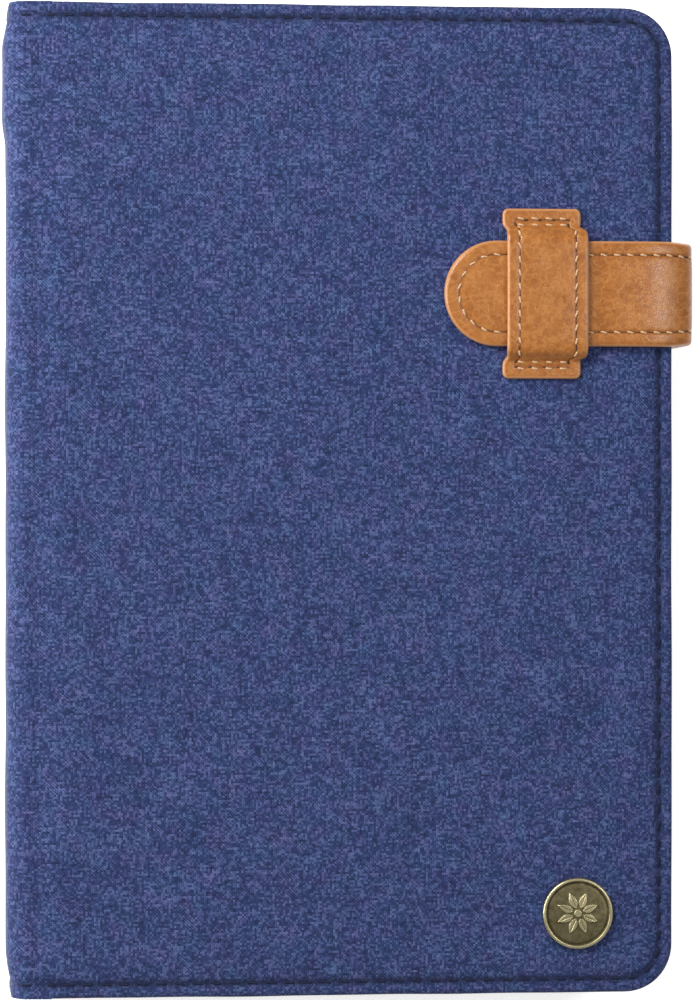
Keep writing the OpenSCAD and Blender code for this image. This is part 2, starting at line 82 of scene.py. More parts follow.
def mix(a, b, t):
    return a + (b - a) * t


def smooth(low, high, x):
    """0 below low, 1 above high, and a soft step between."""
    t = np.clip((np.asarray(x, float) - low) / (high - low), 0, 1)
    return t * t * (3 - 2 * t)


def wave(x, lengths, phase=0.0):
    """A gentle uneven wave from -1 to 1, the same on every run."""
    x = np.asarray(x, float)
    parts = [np.sin(2 * math.pi * x / n + phase + 1.7 * k) for k, n in enumerate(lengths)]
    return sum(parts) / len(parts)


# ---------- Sizes and colours ----------


class CoverSizes(bpy.types.PropertyGroup):
    """Sizes of the canvas covers, in millimetres."""

    stitch_inset: bpy.props.FloatProperty(
        name="Seam inset", description="Distance of the sewing from the cover's edge, mm", default=3.0
    )
    stitch_pitch: bpy.props.FloatProperty(
        name="Seam pitch", description="Distance between stitches of the covers, mm", default=4.0
    )
    crown: bpy.props.FloatProperty(
        name="Crown", description="How far the foam lifts the middle of the front cover, mm", default=0.35
    )
    channel: bpy.props.FloatProperty(
        name="Channel", description="Depth of the channel that the sewing pulls in, mm", default=0.42
    )
    thread_pitch: bpy.props.FloatProperty(
        name="Yarn pitch", description="Distance between neighbouring yarns of the canvas, mm", default=0.45
    )


class LeatherSizes(bpy.types.PropertyGroup):
    """Sizes of the leather parts, in millimetres."""

    stitch_inset: bpy.props.FloatProperty(
        name="Strap seam inset", description="Distance of the sewing from the strap's edge, mm", default=3.1
    )
    loop_inset: bpy.props.FloatProperty(
        name="Loop seam inset", description="Distance of the sewing from the loop's edge, mm", default=2.7
    )
    stitch_pitch: bpy.props.FloatProperty(
        name="Leather seam pitch", description="Distance between stitches in leather, mm", default=2.9
    )


class BadgeSizes(bpy.types.PropertyGroup):
    """Sizes of the brass badge."""

    petals: bpy.props.IntProperty(name="Petals", description="Petals of the rosette", default=8, min=3)
    relief: bpy.props.FloatProperty(
        name="Relief", description="Height of the rosette above the dish, mm", default=0.3
    )


class CaseColours(bpy.types.PropertyGroup):
    """Colours of the case."""

    canvas_dark: bpy.props.FloatVectorProperty(
        name="Canvas slub", description="Darkest yarns of the canvas", subtype="COLOR", size=3,
        default=(0.006, 0.010, 0.036),
    )
    canvas_mid: bpy.props.FloatVectorProperty(
        name="Canvas", description="Main colour of the canvas", subtype="COLOR", size=3,
        default=(0.019, 0.031, 0.104),
    )
    canvas_light: bpy.props.FloatVectorProperty(
        name="Canvas fleck", description="Lightest yarns of the canvas", subtype="COLOR", size=3,
        default=(0.082, 0.108, 0.245),
    )
    leather: bpy.props.FloatVectorProperty(
        name="Leather", description="Main colour of the leather", subtype="COLOR", size=3,
        default=(0.325, 0.112, 0.019),
    )
    leather_edge: bpy.props.FloatVectorProperty(
        name="Leather edge", description="Colour of the pared leather edge", subtype="COLOR", size=3,
        default=(0.480, 0.225, 0.095),
    )
    thread: bpy.props.FloatVectorProperty(
        name="Leather thread", description="Colour of the thread in the leather", subtype="COLOR", size=3,
        default=(0.600, 0.390, 0.220),
    )


class StageSizes(bpy.types.PropertyGroup):
    """Where the camera stands and how much it sees."""

    distance: bpy.props.FloatProperty(
        name="Camera distance", description="From the camera to the front cover", default=0.9,
        unit="LENGTH",
    )
    field: bpy.props.FloatProperty(
        name="Field", description="Height of the view at the front cover", default=0.2168, unit="LENGTH"
    )
    lean: bpy.props.FloatProperty(
        name="Lean", description="How far the camera leans over towards the spine",
        default=math.radians(6.0), subtype="ANGLE",
    )


def sizes(name):
    return getattr(bpy.context.scene, "case_" + name)


# ---------- Meshes ----------


def make_piece(name, verts, faces, materials, body=None, marks=None, material_index=None):
    """A smooth mesh from points in millimetres; marks are values kept at each point."""
    mesh = bpy.data.meshes.new(name)
    mesh.from_pydata((np.asarray(verts, float) * MM).tolist(), [], faces)
    for label, values in (marks or {}).items():
        values = np.asarray(values, np.float32)
        kind = "FLOAT_VECTOR" if values.ndim == 2 else "FLOAT"
        attribute = mesh.attributes.new(label, kind, "POINT")
        attribute.data.foreach_set("vector" if values.ndim == 2 else "value", values.ravel())
    for material in materials:
        mesh.materials.append(material)
    if material_index is not None:
        mesh.polygons.foreach_set("material_index", np.asarray(material_index, np.int32))
    work = bmesh.new()
    work.from_mesh(mesh)
    bmesh.ops.remove_doubles(work, verts=work.verts, dist=0.5e-6)
    bmesh.ops.dissolve_degenerate(work, edges=work.edges, dist=0.2e-6)
    bmesh.ops.recalc_face_normals(work, faces=work.faces)
    work.to_mesh(mesh)
    work.free()
    mesh.polygons.foreach_set("use_smooth", np.ones(len(mesh.polygons), bool))
    piece = bpy.data.objects.new(name, mesh)
    bpy.context.scene.collection.objects.link(piece)
    if body:
        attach(piece, body)
    return piece


def band_faces(rows, columns, close=False):
    """Quads of a grid of points laid out row by row; close joins the last column to the first."""
    faces = []
    for r in range(rows - 1):
        for c in range(columns if close else columns - 1):
            a = r * columns + c
            b = r * columns + (c + 1) % columns
            faces.append((a, b, b + columns, a + columns))
    return faces


class Parts:
    """Gathers several closed shapes into one mesh."""

    def __init__(self):
        self.verts, self.faces, self.index, self.marks = [], [], [], {}
        self.count = 0

    def add(self, verts, faces, material=0, **marks):
        verts = np.asarray(verts, float).reshape(-1, 3)
        self.verts.append(verts)
        self.faces += [tuple(self.count + v for v in f) for f in faces]
        self.index += [material] * len(faces)
        for label, values in marks.items():
            self.marks.setdefault(label, []).append(np.asarray(values, float))
        self.count += len(verts)

    def piece(self, name, materials, body=None):
        marks = {label: np.concatenate(parts) for label, parts in self.marks.items()}
        return make_piece(name, np.concatenate(self.verts), self.faces, materials, body, marks, self.index)


def ring(box, radii, inset, counts):
    """Points round a rectangle with round corners, set in by inset. box is x0, x1 and half the
    length, radii are of the spine's and the fore-edge's corners, counts are segments of a long
    side, a short side and a corner. Corners shrink to a point once inset passes their radius."""
    x0, x1, half = box
    spine_r, fore_r = radii
    n_long, n_short, n_arc = counts
    along, over = np.linspace(-1, 1, n_long + 1), np.linspace(0, 1, n_short + 1)
    points = []

    def corner(cx, cy, r, a0):
        for k in range(1, n_arc):
            a = a0 + math.pi / 2 * k / n_arc
            points.append((cx + r * math.cos(a), cy + r * math.sin(a)))

    far = max(fore_r, inset)
    near = max(spine_r, inset)
    fore_left, spine_left = max(fore_r - inset, 0), max(spine_r - inset, 0)
    points += [(x1 - inset, t * (half - far)) for t in along]
    corner(x1 - far, half - far, fore_left, 0)
    points += [(mix(x1 - far, x0 + near, t), half - inset) for t in over]
    corner(x0 + near, half - near, spine_left, math.pi / 2)
    points += [(x0 + inset, -t * (half - near)) for t in along]
    corner(x0 + near, near - half, spine_left, math.pi)
    points += [(mix(x0 + near, x1 - far, t), inset - half) for t in over]
    corner(x1 - far, far - half, fore_left, 1.5 * math.pi)
    return np.array(points)


def lid(box, inset, counts):
    """Points and quads that fill the rectangle inside a ring."""
    x0, x1, half = box
    xs = np.linspace(x1 - inset, x0 + inset, counts[1] + 1)
    ys = np.linspace(-1, 1, counts[0] + 1) * (half - inset)
    points = np.array([(x, y) for y in ys for x in xs])
    return points, band_faces(len(ys), len(xs))


def edge_distance(xy, box, radius):
    """Distance of points from the fore-edge and the two ends of a cover, with round corners."""
    gap_x, gap_y = box[1] - xy[:, 0], box[2] - np.abs(xy[:, 1])
    corner = (gap_x < radius) & (gap_y < radius)
    round_gap = radius - np.hypot(radius - gap_x, radius - gap_y)
    return np.where(corner, round_gap, np.minimum(gap_x, gap_y))


def seam_path(box, radius, inset, step=0.25):
    """Open path along one end, the fore-edge and the other end, from the spine and back to it."""
    x0, x1, half = box
    r = radius - inset
    y, x = half - inset, x1 - inset
    parts = [np.array([(a, y) for a in np.arange(x0, x - r, step)])]
    turn = np.linspace(math.pi / 2, 0, max(4, int(r * 1.6 / step)))
    parts.append(np.array([(x - r + r * math.cos(a), y - r + r * math.sin(a)) for a in turn]))
    parts.append(np.array([(x, b) for b in np.arange(y - r, r - y, -step)]))
    parts.append(np.array([(x - r + r * math.cos(a), r - y - r * math.sin(a)) for a in turn[::-1]]))
    parts.append(np.array([(a, -y) for a in np.arange(x - r, x0, -step)]))
    return np.concatenate(parts)


def stitches(parts, path, normals, pitch, length, radius, lift, slant=0.0, holes=None, seed=1):
    """Adds a row of thread stitches along a path, each a small bowed roll that dips at its ends.
    holes adds a dark disc of that radius at each end of a stitch, painted shade in the pricked hole."""
    rng = np.random.default_rng(seed)
    step = np.linalg.norm(np.diff(path, axis=0), axis=1)
    at = np.concatenate([[0], np.cumsum(step)])
    count = max(1, int(at[-1] / pitch))
    gap = at[-1] / count
    sides, rows = 7, 7
    turn = np.linspace(0, 2 * math.pi, sides, endpoint=False)
    spread = np.linspace(-1, 1, rows)

    def where(s):
        p = np.stack([np.interp(s, at, path[:, k]) for k in range(3)], 1)
        n = np.stack([np.interp(s, at, normals[:, k]) for k in range(3)], 1)
        return p, n / np.linalg.norm(n, axis=1)[:, None]

    for k in range(count):
        middle = (k + 0.5) * gap
        s = np.clip(middle + spread * length / 2, 0, at[-1])
        p, n = where(s)
        t = np.gradient(p, axis=0)
        t /= np.maximum(np.linalg.norm(t, axis=1), 1e-9)[:, None]
        b = np.cross(t, n)
        tilt = slant + 0.05 * rng.standard_normal()
        rise = lift - (lift + 1.1 * radius) * np.abs(spread) ** 3.5
        p = p + n * rise[:, None] + b * (spread * tilt)[:, None]
        thick = radius * (1 - 0.45 * np.abs(spread) ** 4)
        loop = (
            p[:, None]
            + b[:, None] * (np.cos(turn)[None, :, None] * thick[:, None, None])
            + n[:, None] * (np.sin(turn)[None, :, None] * thick[:, None, None] * 0.8)
        )
        faces = band_faces(rows, sides, close=True)
        faces += [tuple(range(sides))[::-1], tuple(range((rows - 1) * sides, rows * sides))]
        parts.add(loop.reshape(-1, 3), faces, 0)
        # Painted shade: a dark disc sunk at each end of the stitch stands for the shade inside the pricked
        # hole.
        if holes:
            for end in (0, -1):
                disc = p[end] - n[end] * (rise[end] - 0.02) + t[end] * (0.2 if end else -0.2)
                rim = disc + (
                    b[end] * np.cos(turn)[:, None] * holes * 0.9
                    + t[end] * np.sin(turn)[:, None] * holes * 1.15
                )
                floor = rim - n[end] * 0.15
                fill = [tuple(range(sides)), tuple(range(sides, 2 * sides))[::-1]]
                fill += band_faces(2, sides, close=True)
                parts.add(np.concatenate([rim, floor]), fill, 1)


# ---------- Shader groups and materials ----------


def new_group(name, inputs, outputs):
    """An empty shader node group with the given sockets."""
    tree = bpy.data.node_groups.new(name, "ShaderNodeTree")
    for label, kind, value in inputs:
        socket = tree.interface.new_socket(label, in_out="INPUT", socket_type=kind)
        if value is not None:
            socket.default_value = value
    for label, kind in outputs:
        tree.interface.new_socket(label, in_out="OUTPUT", socket_type=kind)
    entry = tree.nodes.new("NodeGroupInput")
    leave = tree.nodes.new("NodeGroupOutput")
    return tree, entry.outputs, leave.inputs


def feed(tree, target, value):
    """Puts a socket or a plain value into an input."""
    if isinstance(value, bpy.types.NodeSocket):
        tree.links.new(value, target)
    elif value is not None:
        target.default_value = value


def calc(tree, operation, *values):
    node = tree.nodes.new("ShaderNodeMath")
    node.operation = operation
    for target, value in zip(node.inputs, values):
        feed(tree, target, value)
    return node.outputs[0]


def combine(tree, x, y, z=0.0):
    node = tree.nodes.new("ShaderNodeCombineXYZ")
    for target, value in zip(node.inputs, (x, y, z)):
        feed(tree, target, value)
    return node.outputs[0]


def noise(tree, vector, scale, detail=2.0, roughness=0.5):
    node = tree.nodes.new("ShaderNodeTexNoise")
    feed(tree, node.inputs["Vector"], vector)
    feed(tree, node.inputs["Scale"], scale)
    feed(tree, node.inputs["Detail"], detail)
    feed(tree, node.inputs["Roughness"], roughness)
    return node.outputs["Fac"]


def scaled(tree, vector, factor):
    node = tree.nodes.new("ShaderNodeVectorMath")
    node.operation = "SCALE"
    feed(tree, node.inputs[0], vector)
    node.inputs["Scale"].default_value = factor
    return node.outputs[0]


def ramp(tree, value, stops):
    """Colour ramp; stops are pairs of a place and a colour."""
    node = tree.nodes.new("ShaderNodeValToRGB")
    while len(node.color_ramp.elements) < len(stops):
        node.color_ramp.elements.new(0.5)
    for element, (place, colour) in zip(node.color_ramp.elements, stops):
        element.position = place
        element.color = (*colour, 1) if hasattr(colour, "__len__") else (colour, colour, colour, 1)
    feed(tree, node.inputs[0], value)
    return node.outputs[0]


def blend_colour(tree, factor, a, b, kind="MIX"):
    node = tree.nodes.new("ShaderNodeMix")
    node.data_type = "RGBA"
    node.blend_type = kind
    for index, value in ((0, factor), (6, a), (7, b)):
        if isinstance(value, bpy.types.NodeSocket):
            tree.links.new(value, node.inputs[index])
        elif hasattr(value, "__len__"):
            node.inputs[index].default_value = (*value[:3], 1)
        else:
            node.inputs[index].default_value = value
    return node.outputs[2]


def canvas_weave():
    """Fine twill of slubby heathered yarns, laid out in millimetres."""
    if "Canvas weave" in bpy.data.node_groups:
        return bpy.data.node_groups["Canvas weave"]
    tree, given, out = new_group(
        "Canvas weave",
        [("Place", "NodeSocketVector", None), ("Yarn pitch", "NodeSocketFloat", 0.45)],
        [("Tone", "NodeSocketFloat"), ("Height", "NodeSocketFloat"), ("Dye", "NodeSocketFloat")],
    )
    split = tree.nodes.new("ShaderNodeSeparateXYZ")
    tree.links.new(given["Place"], split.inputs[0])
    drift = noise(tree, given["Place"], 0.08, 2.0)
    drift = calc(tree, "MULTIPLY", calc(tree, "SUBTRACT", drift, 0.5), 2.0)
    x = calc(tree, "ADD", calc(tree, "DIVIDE", split.outputs[0], given["Yarn pitch"]), drift)
    y = calc(tree, "ADD", calc(tree, "DIVIDE", split.outputs[1], given["Yarn pitch"]), drift)
    column, row = calc(tree, "FLOOR", x), calc(tree, "FLOOR", y)
    over = calc(tree, "FLOORED_MODULO", calc(tree, "ADD", column, row), 2.0)
    under = calc(tree, "SUBTRACT", 1.0, over)

    def hump(value):
        centred = calc(tree, "SUBTRACT", calc(tree, "FRACT", value), 0.5)
        return calc(tree, "COSINE", calc(tree, "MULTIPLY", centred, math.pi))

    height = calc(tree, "MULTIPLY", hump(x), hump(y))

    def slubs(along, across, seed):
        """Uneven yarns: each yarn's tone drifts along it, in steps across it."""
        place = combine(tree, calc(tree, "MULTIPLY", along, 0.16), calc(tree, "MULTIPLY", across, 5.71), seed)
        return calc(tree, "SUBTRACT", noise(tree, place, 1.0, 3.0, 0.65), 0.5)

    weft, warp = slubs(x, row, 3.0), slubs(y, column, 8.0)
    yarn = calc(tree, "ADD", calc(tree, "MULTIPLY", weft, over), calc(tree, "MULTIPLY", warp, under))
    speck = tree.nodes.new("ShaderNodeTexWhiteNoise")
    speck.noise_dimensions = "2D"
    tree.links.new(combine(tree, column, row), speck.inputs["Vector"])
    fleck = noise(tree, given["Place"], 0.8, 2.0, 0.5)
    patch = noise(tree, given["Place"], 0.09, 4.0, 0.6)
    ribs = calc(tree, "COSINE", calc(tree, "MULTIPLY", calc(tree, "ADD", x, y), 2 * math.pi / 1.55))
    clear = noise(tree, given["Place"], 0.22, 2.0, 0.5)
    clear = calc(tree, "MAXIMUM", calc(tree, "MULTIPLY_ADD", clear, 0.9, -0.28), 0.05)
    tone = calc(tree, "MULTIPLY_ADD", yarn, 0.55, 0.53)
    tone = calc(tree, "MULTIPLY_ADD", weft, 0.70, tone)
    tone = calc(tree, "MULTIPLY_ADD", warp, 0.45, tone)
    tone = calc(tree, "MULTIPLY_ADD", calc(tree, "SUBTRACT", speck.outputs[0], 0.5), 0.56, tone)
    tone = calc(tree, "MULTIPLY_ADD", calc(tree, "MULTIPLY", ribs, clear), 0.52, tone)
    tone = calc(tree, "MULTIPLY_ADD", calc(tree, "SUBTRACT", fleck, 0.5), 0.20, tone)
    tone = calc(tree, "MULTIPLY_ADD", calc(tree, "SUBTRACT", patch, 0.5), 0.30, tone)
    feed(tree, out["Tone"], tone)
    feed(tree, out["Height"], height)
    feed(tree, out["Dye"], noise(tree, given["Place"], 0.20, 3.0, 0.6))
    return tree


def hide_grain():
    """Leather: cloudy colour, pores and fine creases, laid out in millimetres."""
    if "Hide grain" in bpy.data.node_groups:
        return bpy.data.node_groups["Hide grain"]
    tree, given, out = new_group(
        "Hide grain",
        [("Place", "NodeSocketVector", None), ("Grain size", "NodeSocketFloat", 1.0)],
        [("Cloud", "NodeSocketFloat"), ("Height", "NodeSocketFloat"), ("Vein", "NodeSocketFloat")],
    )
    warped = tree.nodes.new("ShaderNodeVectorMath")
    warped.operation = "MULTIPLY_ADD"
    jog = tree.nodes.new("ShaderNodeTexNoise")
    feed(tree, jog.inputs["Vector"], given["Place"])
    jog.inputs["Scale"].default_value = 0.5
    tree.links.new(jog.outputs["Color"], warped.inputs[0])
    warped.inputs[1].default_value = (1.4, 1.4, 1.4)
    tree.links.new(given["Place"], warped.inputs[2])
    broad = noise(tree, given["Place"], 0.16, 4.0, 0.62)
    fine = noise(tree, warped.outputs[0], 1.1, 4.0, 0.7)
    cloud = calc(tree, "ADD", calc(tree, "MULTIPLY", broad, 0.55), calc(tree, "MULTIPLY", fine, 0.45))
    cell = tree.nodes.new("ShaderNodeTexVoronoi")
    cell.feature = "DISTANCE_TO_EDGE"
    feed(tree, cell.inputs["Vector"], warped.outputs[0])
    feed(tree, cell.inputs["Scale"], calc(tree, "DIVIDE", 1.5, given["Grain size"]))
    crease = calc(tree, "MINIMUM", calc(tree, "MULTIPLY", cell.outputs["Distance"], 5.0), 1.0)
    pore = noise(tree, given["Place"], 4.5, 2.0, 0.6)
    height = calc(tree, "ADD", calc(tree, "MULTIPLY", crease, 0.5), calc(tree, "MULTIPLY", pore, 0.5))
    vein = noise(tree, warped.outputs[0], 0.42, 2.0, 0.55)
    vein = calc(tree, "ABSOLUTE", calc(tree, "SUBTRACT", vein, 0.5))
    vein = calc(tree, "SUBTRACT", 1.0, calc(tree, "MINIMUM", calc(tree, "MULTIPLY", vein, 15.0), 1.0))
    feed(tree, out["Cloud"], cloud)
    feed(tree, out["Height"], height)
    feed(tree, out["Vein"], vein)
    return tree


def fine_speckle():
    """Moulded or sprayed surface: fine even bumps and a faint cloud, in millimetres."""
    if "Fine speckle" in bpy.data.node_groups:
        return bpy.data.node_groups["Fine speckle"]
    tree, given, out = new_group(
        "Fine speckle",
        [("Place", "NodeSocketVector", None), ("Speck size", "NodeSocketFloat", 0.25)],
        [("Cloud", "NodeSocketFloat"), ("Height", "NodeSocketFloat"), ("Scuff", "NodeSocketFloat")],
    )
    grain = noise(tree, given["Place"], calc(tree, "DIVIDE", 1.0, given["Speck size"]), 3.0, 0.6)
    broad = noise(tree, given["Place"], 0.12, 4.0, 0.65)
    scuff = noise(tree, given["Place"], 0.6, 5.0, 0.75)
    feed(tree, out["Cloud"], broad)
    feed(tree, out["Height"], grain)
    feed(tree, out["Scuff"], calc(tree, "GREATER_THAN", scuff, 0.68))
    return tree


def place_of(tree, mark=None):
    """Coordinates in millimetres: a value kept on the mesh, or the piece's own place."""
    if mark:
        node = tree.nodes.new("ShaderNodeAttribute")
        node.attribute_name = mark
        return node.outputs["Vector"]
    node = tree.nodes.new("ShaderNodeTexCoord")
    return scaled(tree, node.outputs["Object"], 1 / MM)


def mark_of(tree, name):
    node = tree.nodes.new("ShaderNodeAttribute")
    node.attribute_name = name
    return node.outputs["Fac"]


def base_material(name, roughness=0.5, metallic=0.0, **plain):
    """A material with a Principled shader, its plain sockets set."""
    material = bpy.data.materials.new(name)
    material.use_nodes = True
    tree = material.node_tree
    shader = tree.nodes["Principled BSDF"]
    shader.inputs["Roughness"].default_value = roughness
    shader.inputs["Metallic"].default_value = metallic
    for label, value in plain.items():
        shader.inputs[label.replace("_", " ")].default_value = value
    return material, tree, shader


def add_bump(tree, shader, height, distance_mm, strength=1.0):
    node = tree.nodes.new("ShaderNodeBump")
    node.inputs["Strength"].default_value = strength
    node.inputs["Distance"].default_value = distance_mm * MM
    tree.links.new(height, node.inputs["Height"])
    tree.links.new(node.outputs[0], shader.inputs["Normal"])


def use_group(tree, group, **inputs):
    node = tree.nodes.new("ShaderNodeGroup")
    node.node_tree = group
    for label, value in inputs.items():
        feed(tree, node.inputs[label.replace("_", " ")], value)
    return node.outputs


def canvas_material():
    colours, cover = sizes("colours"), sizes("cover")
    material, tree, shader = base_material("Blue canvas", 0.92, Sheen_Weight=0.06, Sheen_Roughness=0.5)
    shader.inputs["Specular IOR Level"].default_value = 0.22
    weave = use_group(tree, canvas_weave(), Place=place_of(tree, "cloth"), Yarn_pitch=cover.thread_pitch)
    colour = ramp(
        tree, weave["Tone"],
        [(-0.0, colours.canvas_dark), (0.5, colours.canvas_mid), (1.0, colours.canvas_light)],
    )
    dye = ramp(tree, weave["Dye"], [(0.36, (0.88, 1.06, 1.0)), (0.5, (1.0,) * 3), (0.64, (1.16, 0.95, 1.0))])
    dyed = blend_colour(tree, 1.0, colour, dye, "MULTIPLY")
    # Painted shade: the shade mark darkens the canvas towards its darkest yarn in the seam's channel and on
    # the folded edge.
    painted_shade_colour = blend_colour(tree, mark_of(tree, "shade"), dyed, colours.canvas_dark)
    tree.links.new(painted_shade_colour, shader.inputs["Base Color"])
    add_bump(tree, shader, weave["Height"], 0.05, 0.8)
    return material


def lining_material():
    material, tree, shader = base_material("Microfibre lining", 0.95, Sheen_Weight=0.35, Sheen_Roughness=0.4)
    shader.inputs["Specular IOR Level"].default_value = 0.2
    place = place_of(tree, "cloth")
    nap = noise(tree, place, 0.35, 5.0, 0.7)
    fuzz = noise(tree, place, 6.0, 3.0, 0.7)
    tone = calc(tree, "ADD", calc(tree, "MULTIPLY", nap, 0.7), calc(tree, "MULTIPLY", fuzz, 0.3))
    colour = ramp(tree, tone, [(0.3, (0.020, 0.022, 0.030)), (0.7, (0.050, 0.053, 0.066))])
    tree.links.new(colour, shader.inputs["Base Color"])
    add_bump(tree, shader, fuzz, 0.06, 0.6)
    return material


def leather_material():
    colours = sizes("colours")
    material, tree, shader = base_material("Tan leather", 0.38)
    shader.inputs["Specular IOR Level"].default_value = 0.45
    grain = use_group(tree, hide_grain(), Place=place_of(tree, "hide"), Grain_size=0.8)
    main = np.array(colours.leather)
    colour = ramp(
        tree, grain["Cloud"],
        [(0.34, main * (0.70, 0.62, 0.50)), (0.5, main), (0.64, main * (1.22, 1.36, 1.60))],
    )
    lined = blend_colour(
        tree, calc(tree, "MULTIPLY", calc(tree, "SUBTRACT", 1.0, grain["Height"]), 0.30), colour,
        main * (0.62, 0.50, 0.40)
    )
    lined = blend_colour(
        tree, calc(tree, "MULTIPLY", grain["Vein"], 0.42), lined, np.minimum(main * (1.45, 1.85, 2.9), 1)
    )
    edged = blend_colour(tree, mark_of(tree, "edge"), lined, colours.leather_edge)
    # The groove mark darkens the pressed seam and edge lines, and paints shade where the keeper loop bends.
    crease = blend_colour(tree, mark_of(tree, "groove"), edged, main * (0.50, 0.40, 0.34))
    tree.links.new(crease, shader.inputs["Base Color"])
    gloss = calc(tree, "MULTIPLY_ADD", grain["Cloud"], 0.26, 0.16)
    tree.links.new(gloss, shader.inputs["Roughness"])
    add_bump(tree, shader, grain["Height"], 0.035, 0.7)
    return material


def thread_material(name, colour, sheen=0.15):
    material, tree, shader = base_material(name, 0.75, Sheen_Weight=sheen)
    shader.inputs["Specular IOR Level"].default_value = 0.25
    place = place_of(tree)
    strand = noise(tree, place, 5.0, 2.0, 0.6)
    low, high = np.array(colour) * 0.7, np.minimum(np.array(colour) * 1.15, 1)
    colour_out = ramp(tree, strand, [(0.3, low), (0.7, high)])
    tree.links.new(colour_out, shader.inputs["Base Color"])
    twist = tree.nodes.new("ShaderNodeTexWave")
    tree.links.new(place, twist.inputs["Vector"])
    twist.inputs["Scale"].default_value = 2.2
    twist.bands_direction = "DIAGONAL"
    add_bump(tree, shader, twist.outputs["Fac"], 0.08, 0.6)
    return material


def moulded_material(name, colour, roughness=0.5, speck=0.25, bump=0.02):
    """Moulded plastic, rubber or board: speckled, with a faint cloud and a few paler scuffs."""
    material, tree, shader = base_material(name, roughness)
    fine = use_group(tree, fine_speckle(), Place=place_of(tree), Speck_size=speck)
    colour = np.array(colour, float)
    body = ramp(tree, fine["Cloud"], [(0.3, colour * 0.82), (0.7, np.minimum(colour * 1.22, 1))])
    scuffed = blend_colour(
        tree, calc(tree, "MULTIPLY", fine["Scuff"], 0.12), body, np.minimum(colour * 2.5 + 0.02, 1)
    )
    tree.links.new(scuffed, shader.inputs["Base Color"])
    rough = calc(tree, "MULTIPLY_ADD", fine["Cloud"], 0.16, roughness - 0.08)
    tree.links.new(rough, shader.inputs["Roughness"])
    add_bump(tree, shader, fine["Height"], bump, 0.8)
    return material


def metal_material(name, colour, dark, roughness=0.32, mark=None, streak=0.0):
    """Plated or antiqued metal; mark is a value kept on the mesh, 1 where it is rubbed bright."""
    material, tree, shader = base_material(name, roughness, 1.0)
    place = place_of(tree)
    cloud = noise(tree, place, 0.55, 5.0, 0.7)
    if mark:
        bright = calc(tree, "MULTIPLY_ADD", calc(tree, "SUBTRACT", cloud, 0.5), 0.5, mark_of(tree, mark))
    else:
        bright = cloud
    shade = ramp(tree, bright, [(0.15, dark), (0.85, colour)])
    tree.links.new(shade, shader.inputs["Base Color"])
    rough = ramp(tree, bright, [(0.1, min(roughness + 0.25, 1)), (0.9, roughness)])
    tree.links.new(rough, shader.inputs["Roughness"])
    fine = noise(tree, place, 9.0, 3.0, 0.6)
    add_bump(tree, shader, fine, 0.012 + streak, 0.6)
    return material


def board_material():
    """Circuit board: green lacquer over a grid of copper tracks."""
    material, tree, shader = base_material("Circuit board", 0.35)
    brick = tree.nodes.new("ShaderNodeTexBrick")
    tree.links.new(place_of(tree), brick.inputs["Vector"])
    brick.inputs["Scale"].default_value = 0.6
    brick.inputs["Mortar Size"].default_value = 0.03
    brick.inputs["Color1"].default_value = (0.010, 0.070, 0.025, 1)
    brick.inputs["Color2"].default_value = (0.012, 0.085, 0.030, 1)
    brick.inputs["Mortar"].default_value = (0.035, 0.160, 0.060, 1)
    tree.links.new(brick.outputs["Color"], shader.inputs["Base Color"])
    add_bump(tree, shader, brick.outputs["Fac"], 0.03, 0.5)
    return material


MAKERS = {
    "canvas": canvas_material,
    "lining": lining_material,
    "leather": leather_material,
    "cream_thread": lambda: thread_material("Cream thread", sizes("colours").thread),
    "navy_thread": lambda: thread_material("Navy thread", (0.008, 0.011, 0.035), 0.0),
    # Painted shade for the pricked holes of the leather seams.
    "hole_shade": lambda: moulded_material("Painted hole shade", (0.055, 0.020, 0.008), 0.9),
    "brass": lambda: metal_material(
        "Antique brass", (0.52, 0.46, 0.27), (0.060, 0.047, 0.021), 0.30, mark="rubbed"
    ),
    "steel": lambda: metal_material("Nickel plate", (0.66, 0.66, 0.67), (0.40, 0.40, 0.41), 0.28),
    "case_plastic": lambda: moulded_material("Housing plastic", (0.014, 0.014, 0.016), 0.46, 0.22, 0.025),
    "deck_plastic": lambda: moulded_material("Deck plastic", (0.020, 0.020, 0.022), 0.40, 0.16, 0.012),
    "key_plastic": lambda: moulded_material("Key plastic", (0.030, 0.030, 0.033), 0.50, 0.12, 0.008),
    "rubber": lambda: moulded_material("Soft rubber", (0.045, 0.045, 0.047), 0.72, 0.30, 0.02),
    "fibre_board": lambda: moulded_material("Fibre board", (0.30, 0.27, 0.23), 0.85, 0.5, 0.06),
    "foam": lambda: moulded_material("Foam", (0.74, 0.72, 0.66), 0.9, 0.35, 0.12),
    "film": lambda: moulded_material("Printed film", (0.62, 0.64, 0.66), 0.3, 0.8, 0.004),
    "foil": lambda: metal_material("Battery foil", (0.60, 0.60, 0.61), (0.45, 0.45, 0.46), 0.38, streak=0.03),
    "lens": lambda: moulded_material("Lamp lens", (0.70, 0.74, 0.78), 0.12, 0.5, 0.002),
    "circuit": board_material,
}
made = {}


def finish_of(name):
    """The material of that name, made when it is first asked for."""
    if name not in made:
        made[name] = MAKERS[name]()
    return made[name]


def dress(name, *nodes):
    """Gives CAD nodes a material."""
    for node in nodes:
        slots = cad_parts[node].data.materials
        slots.clear()
        slots.append(finish_of(name))


# ---------- Covers ----------

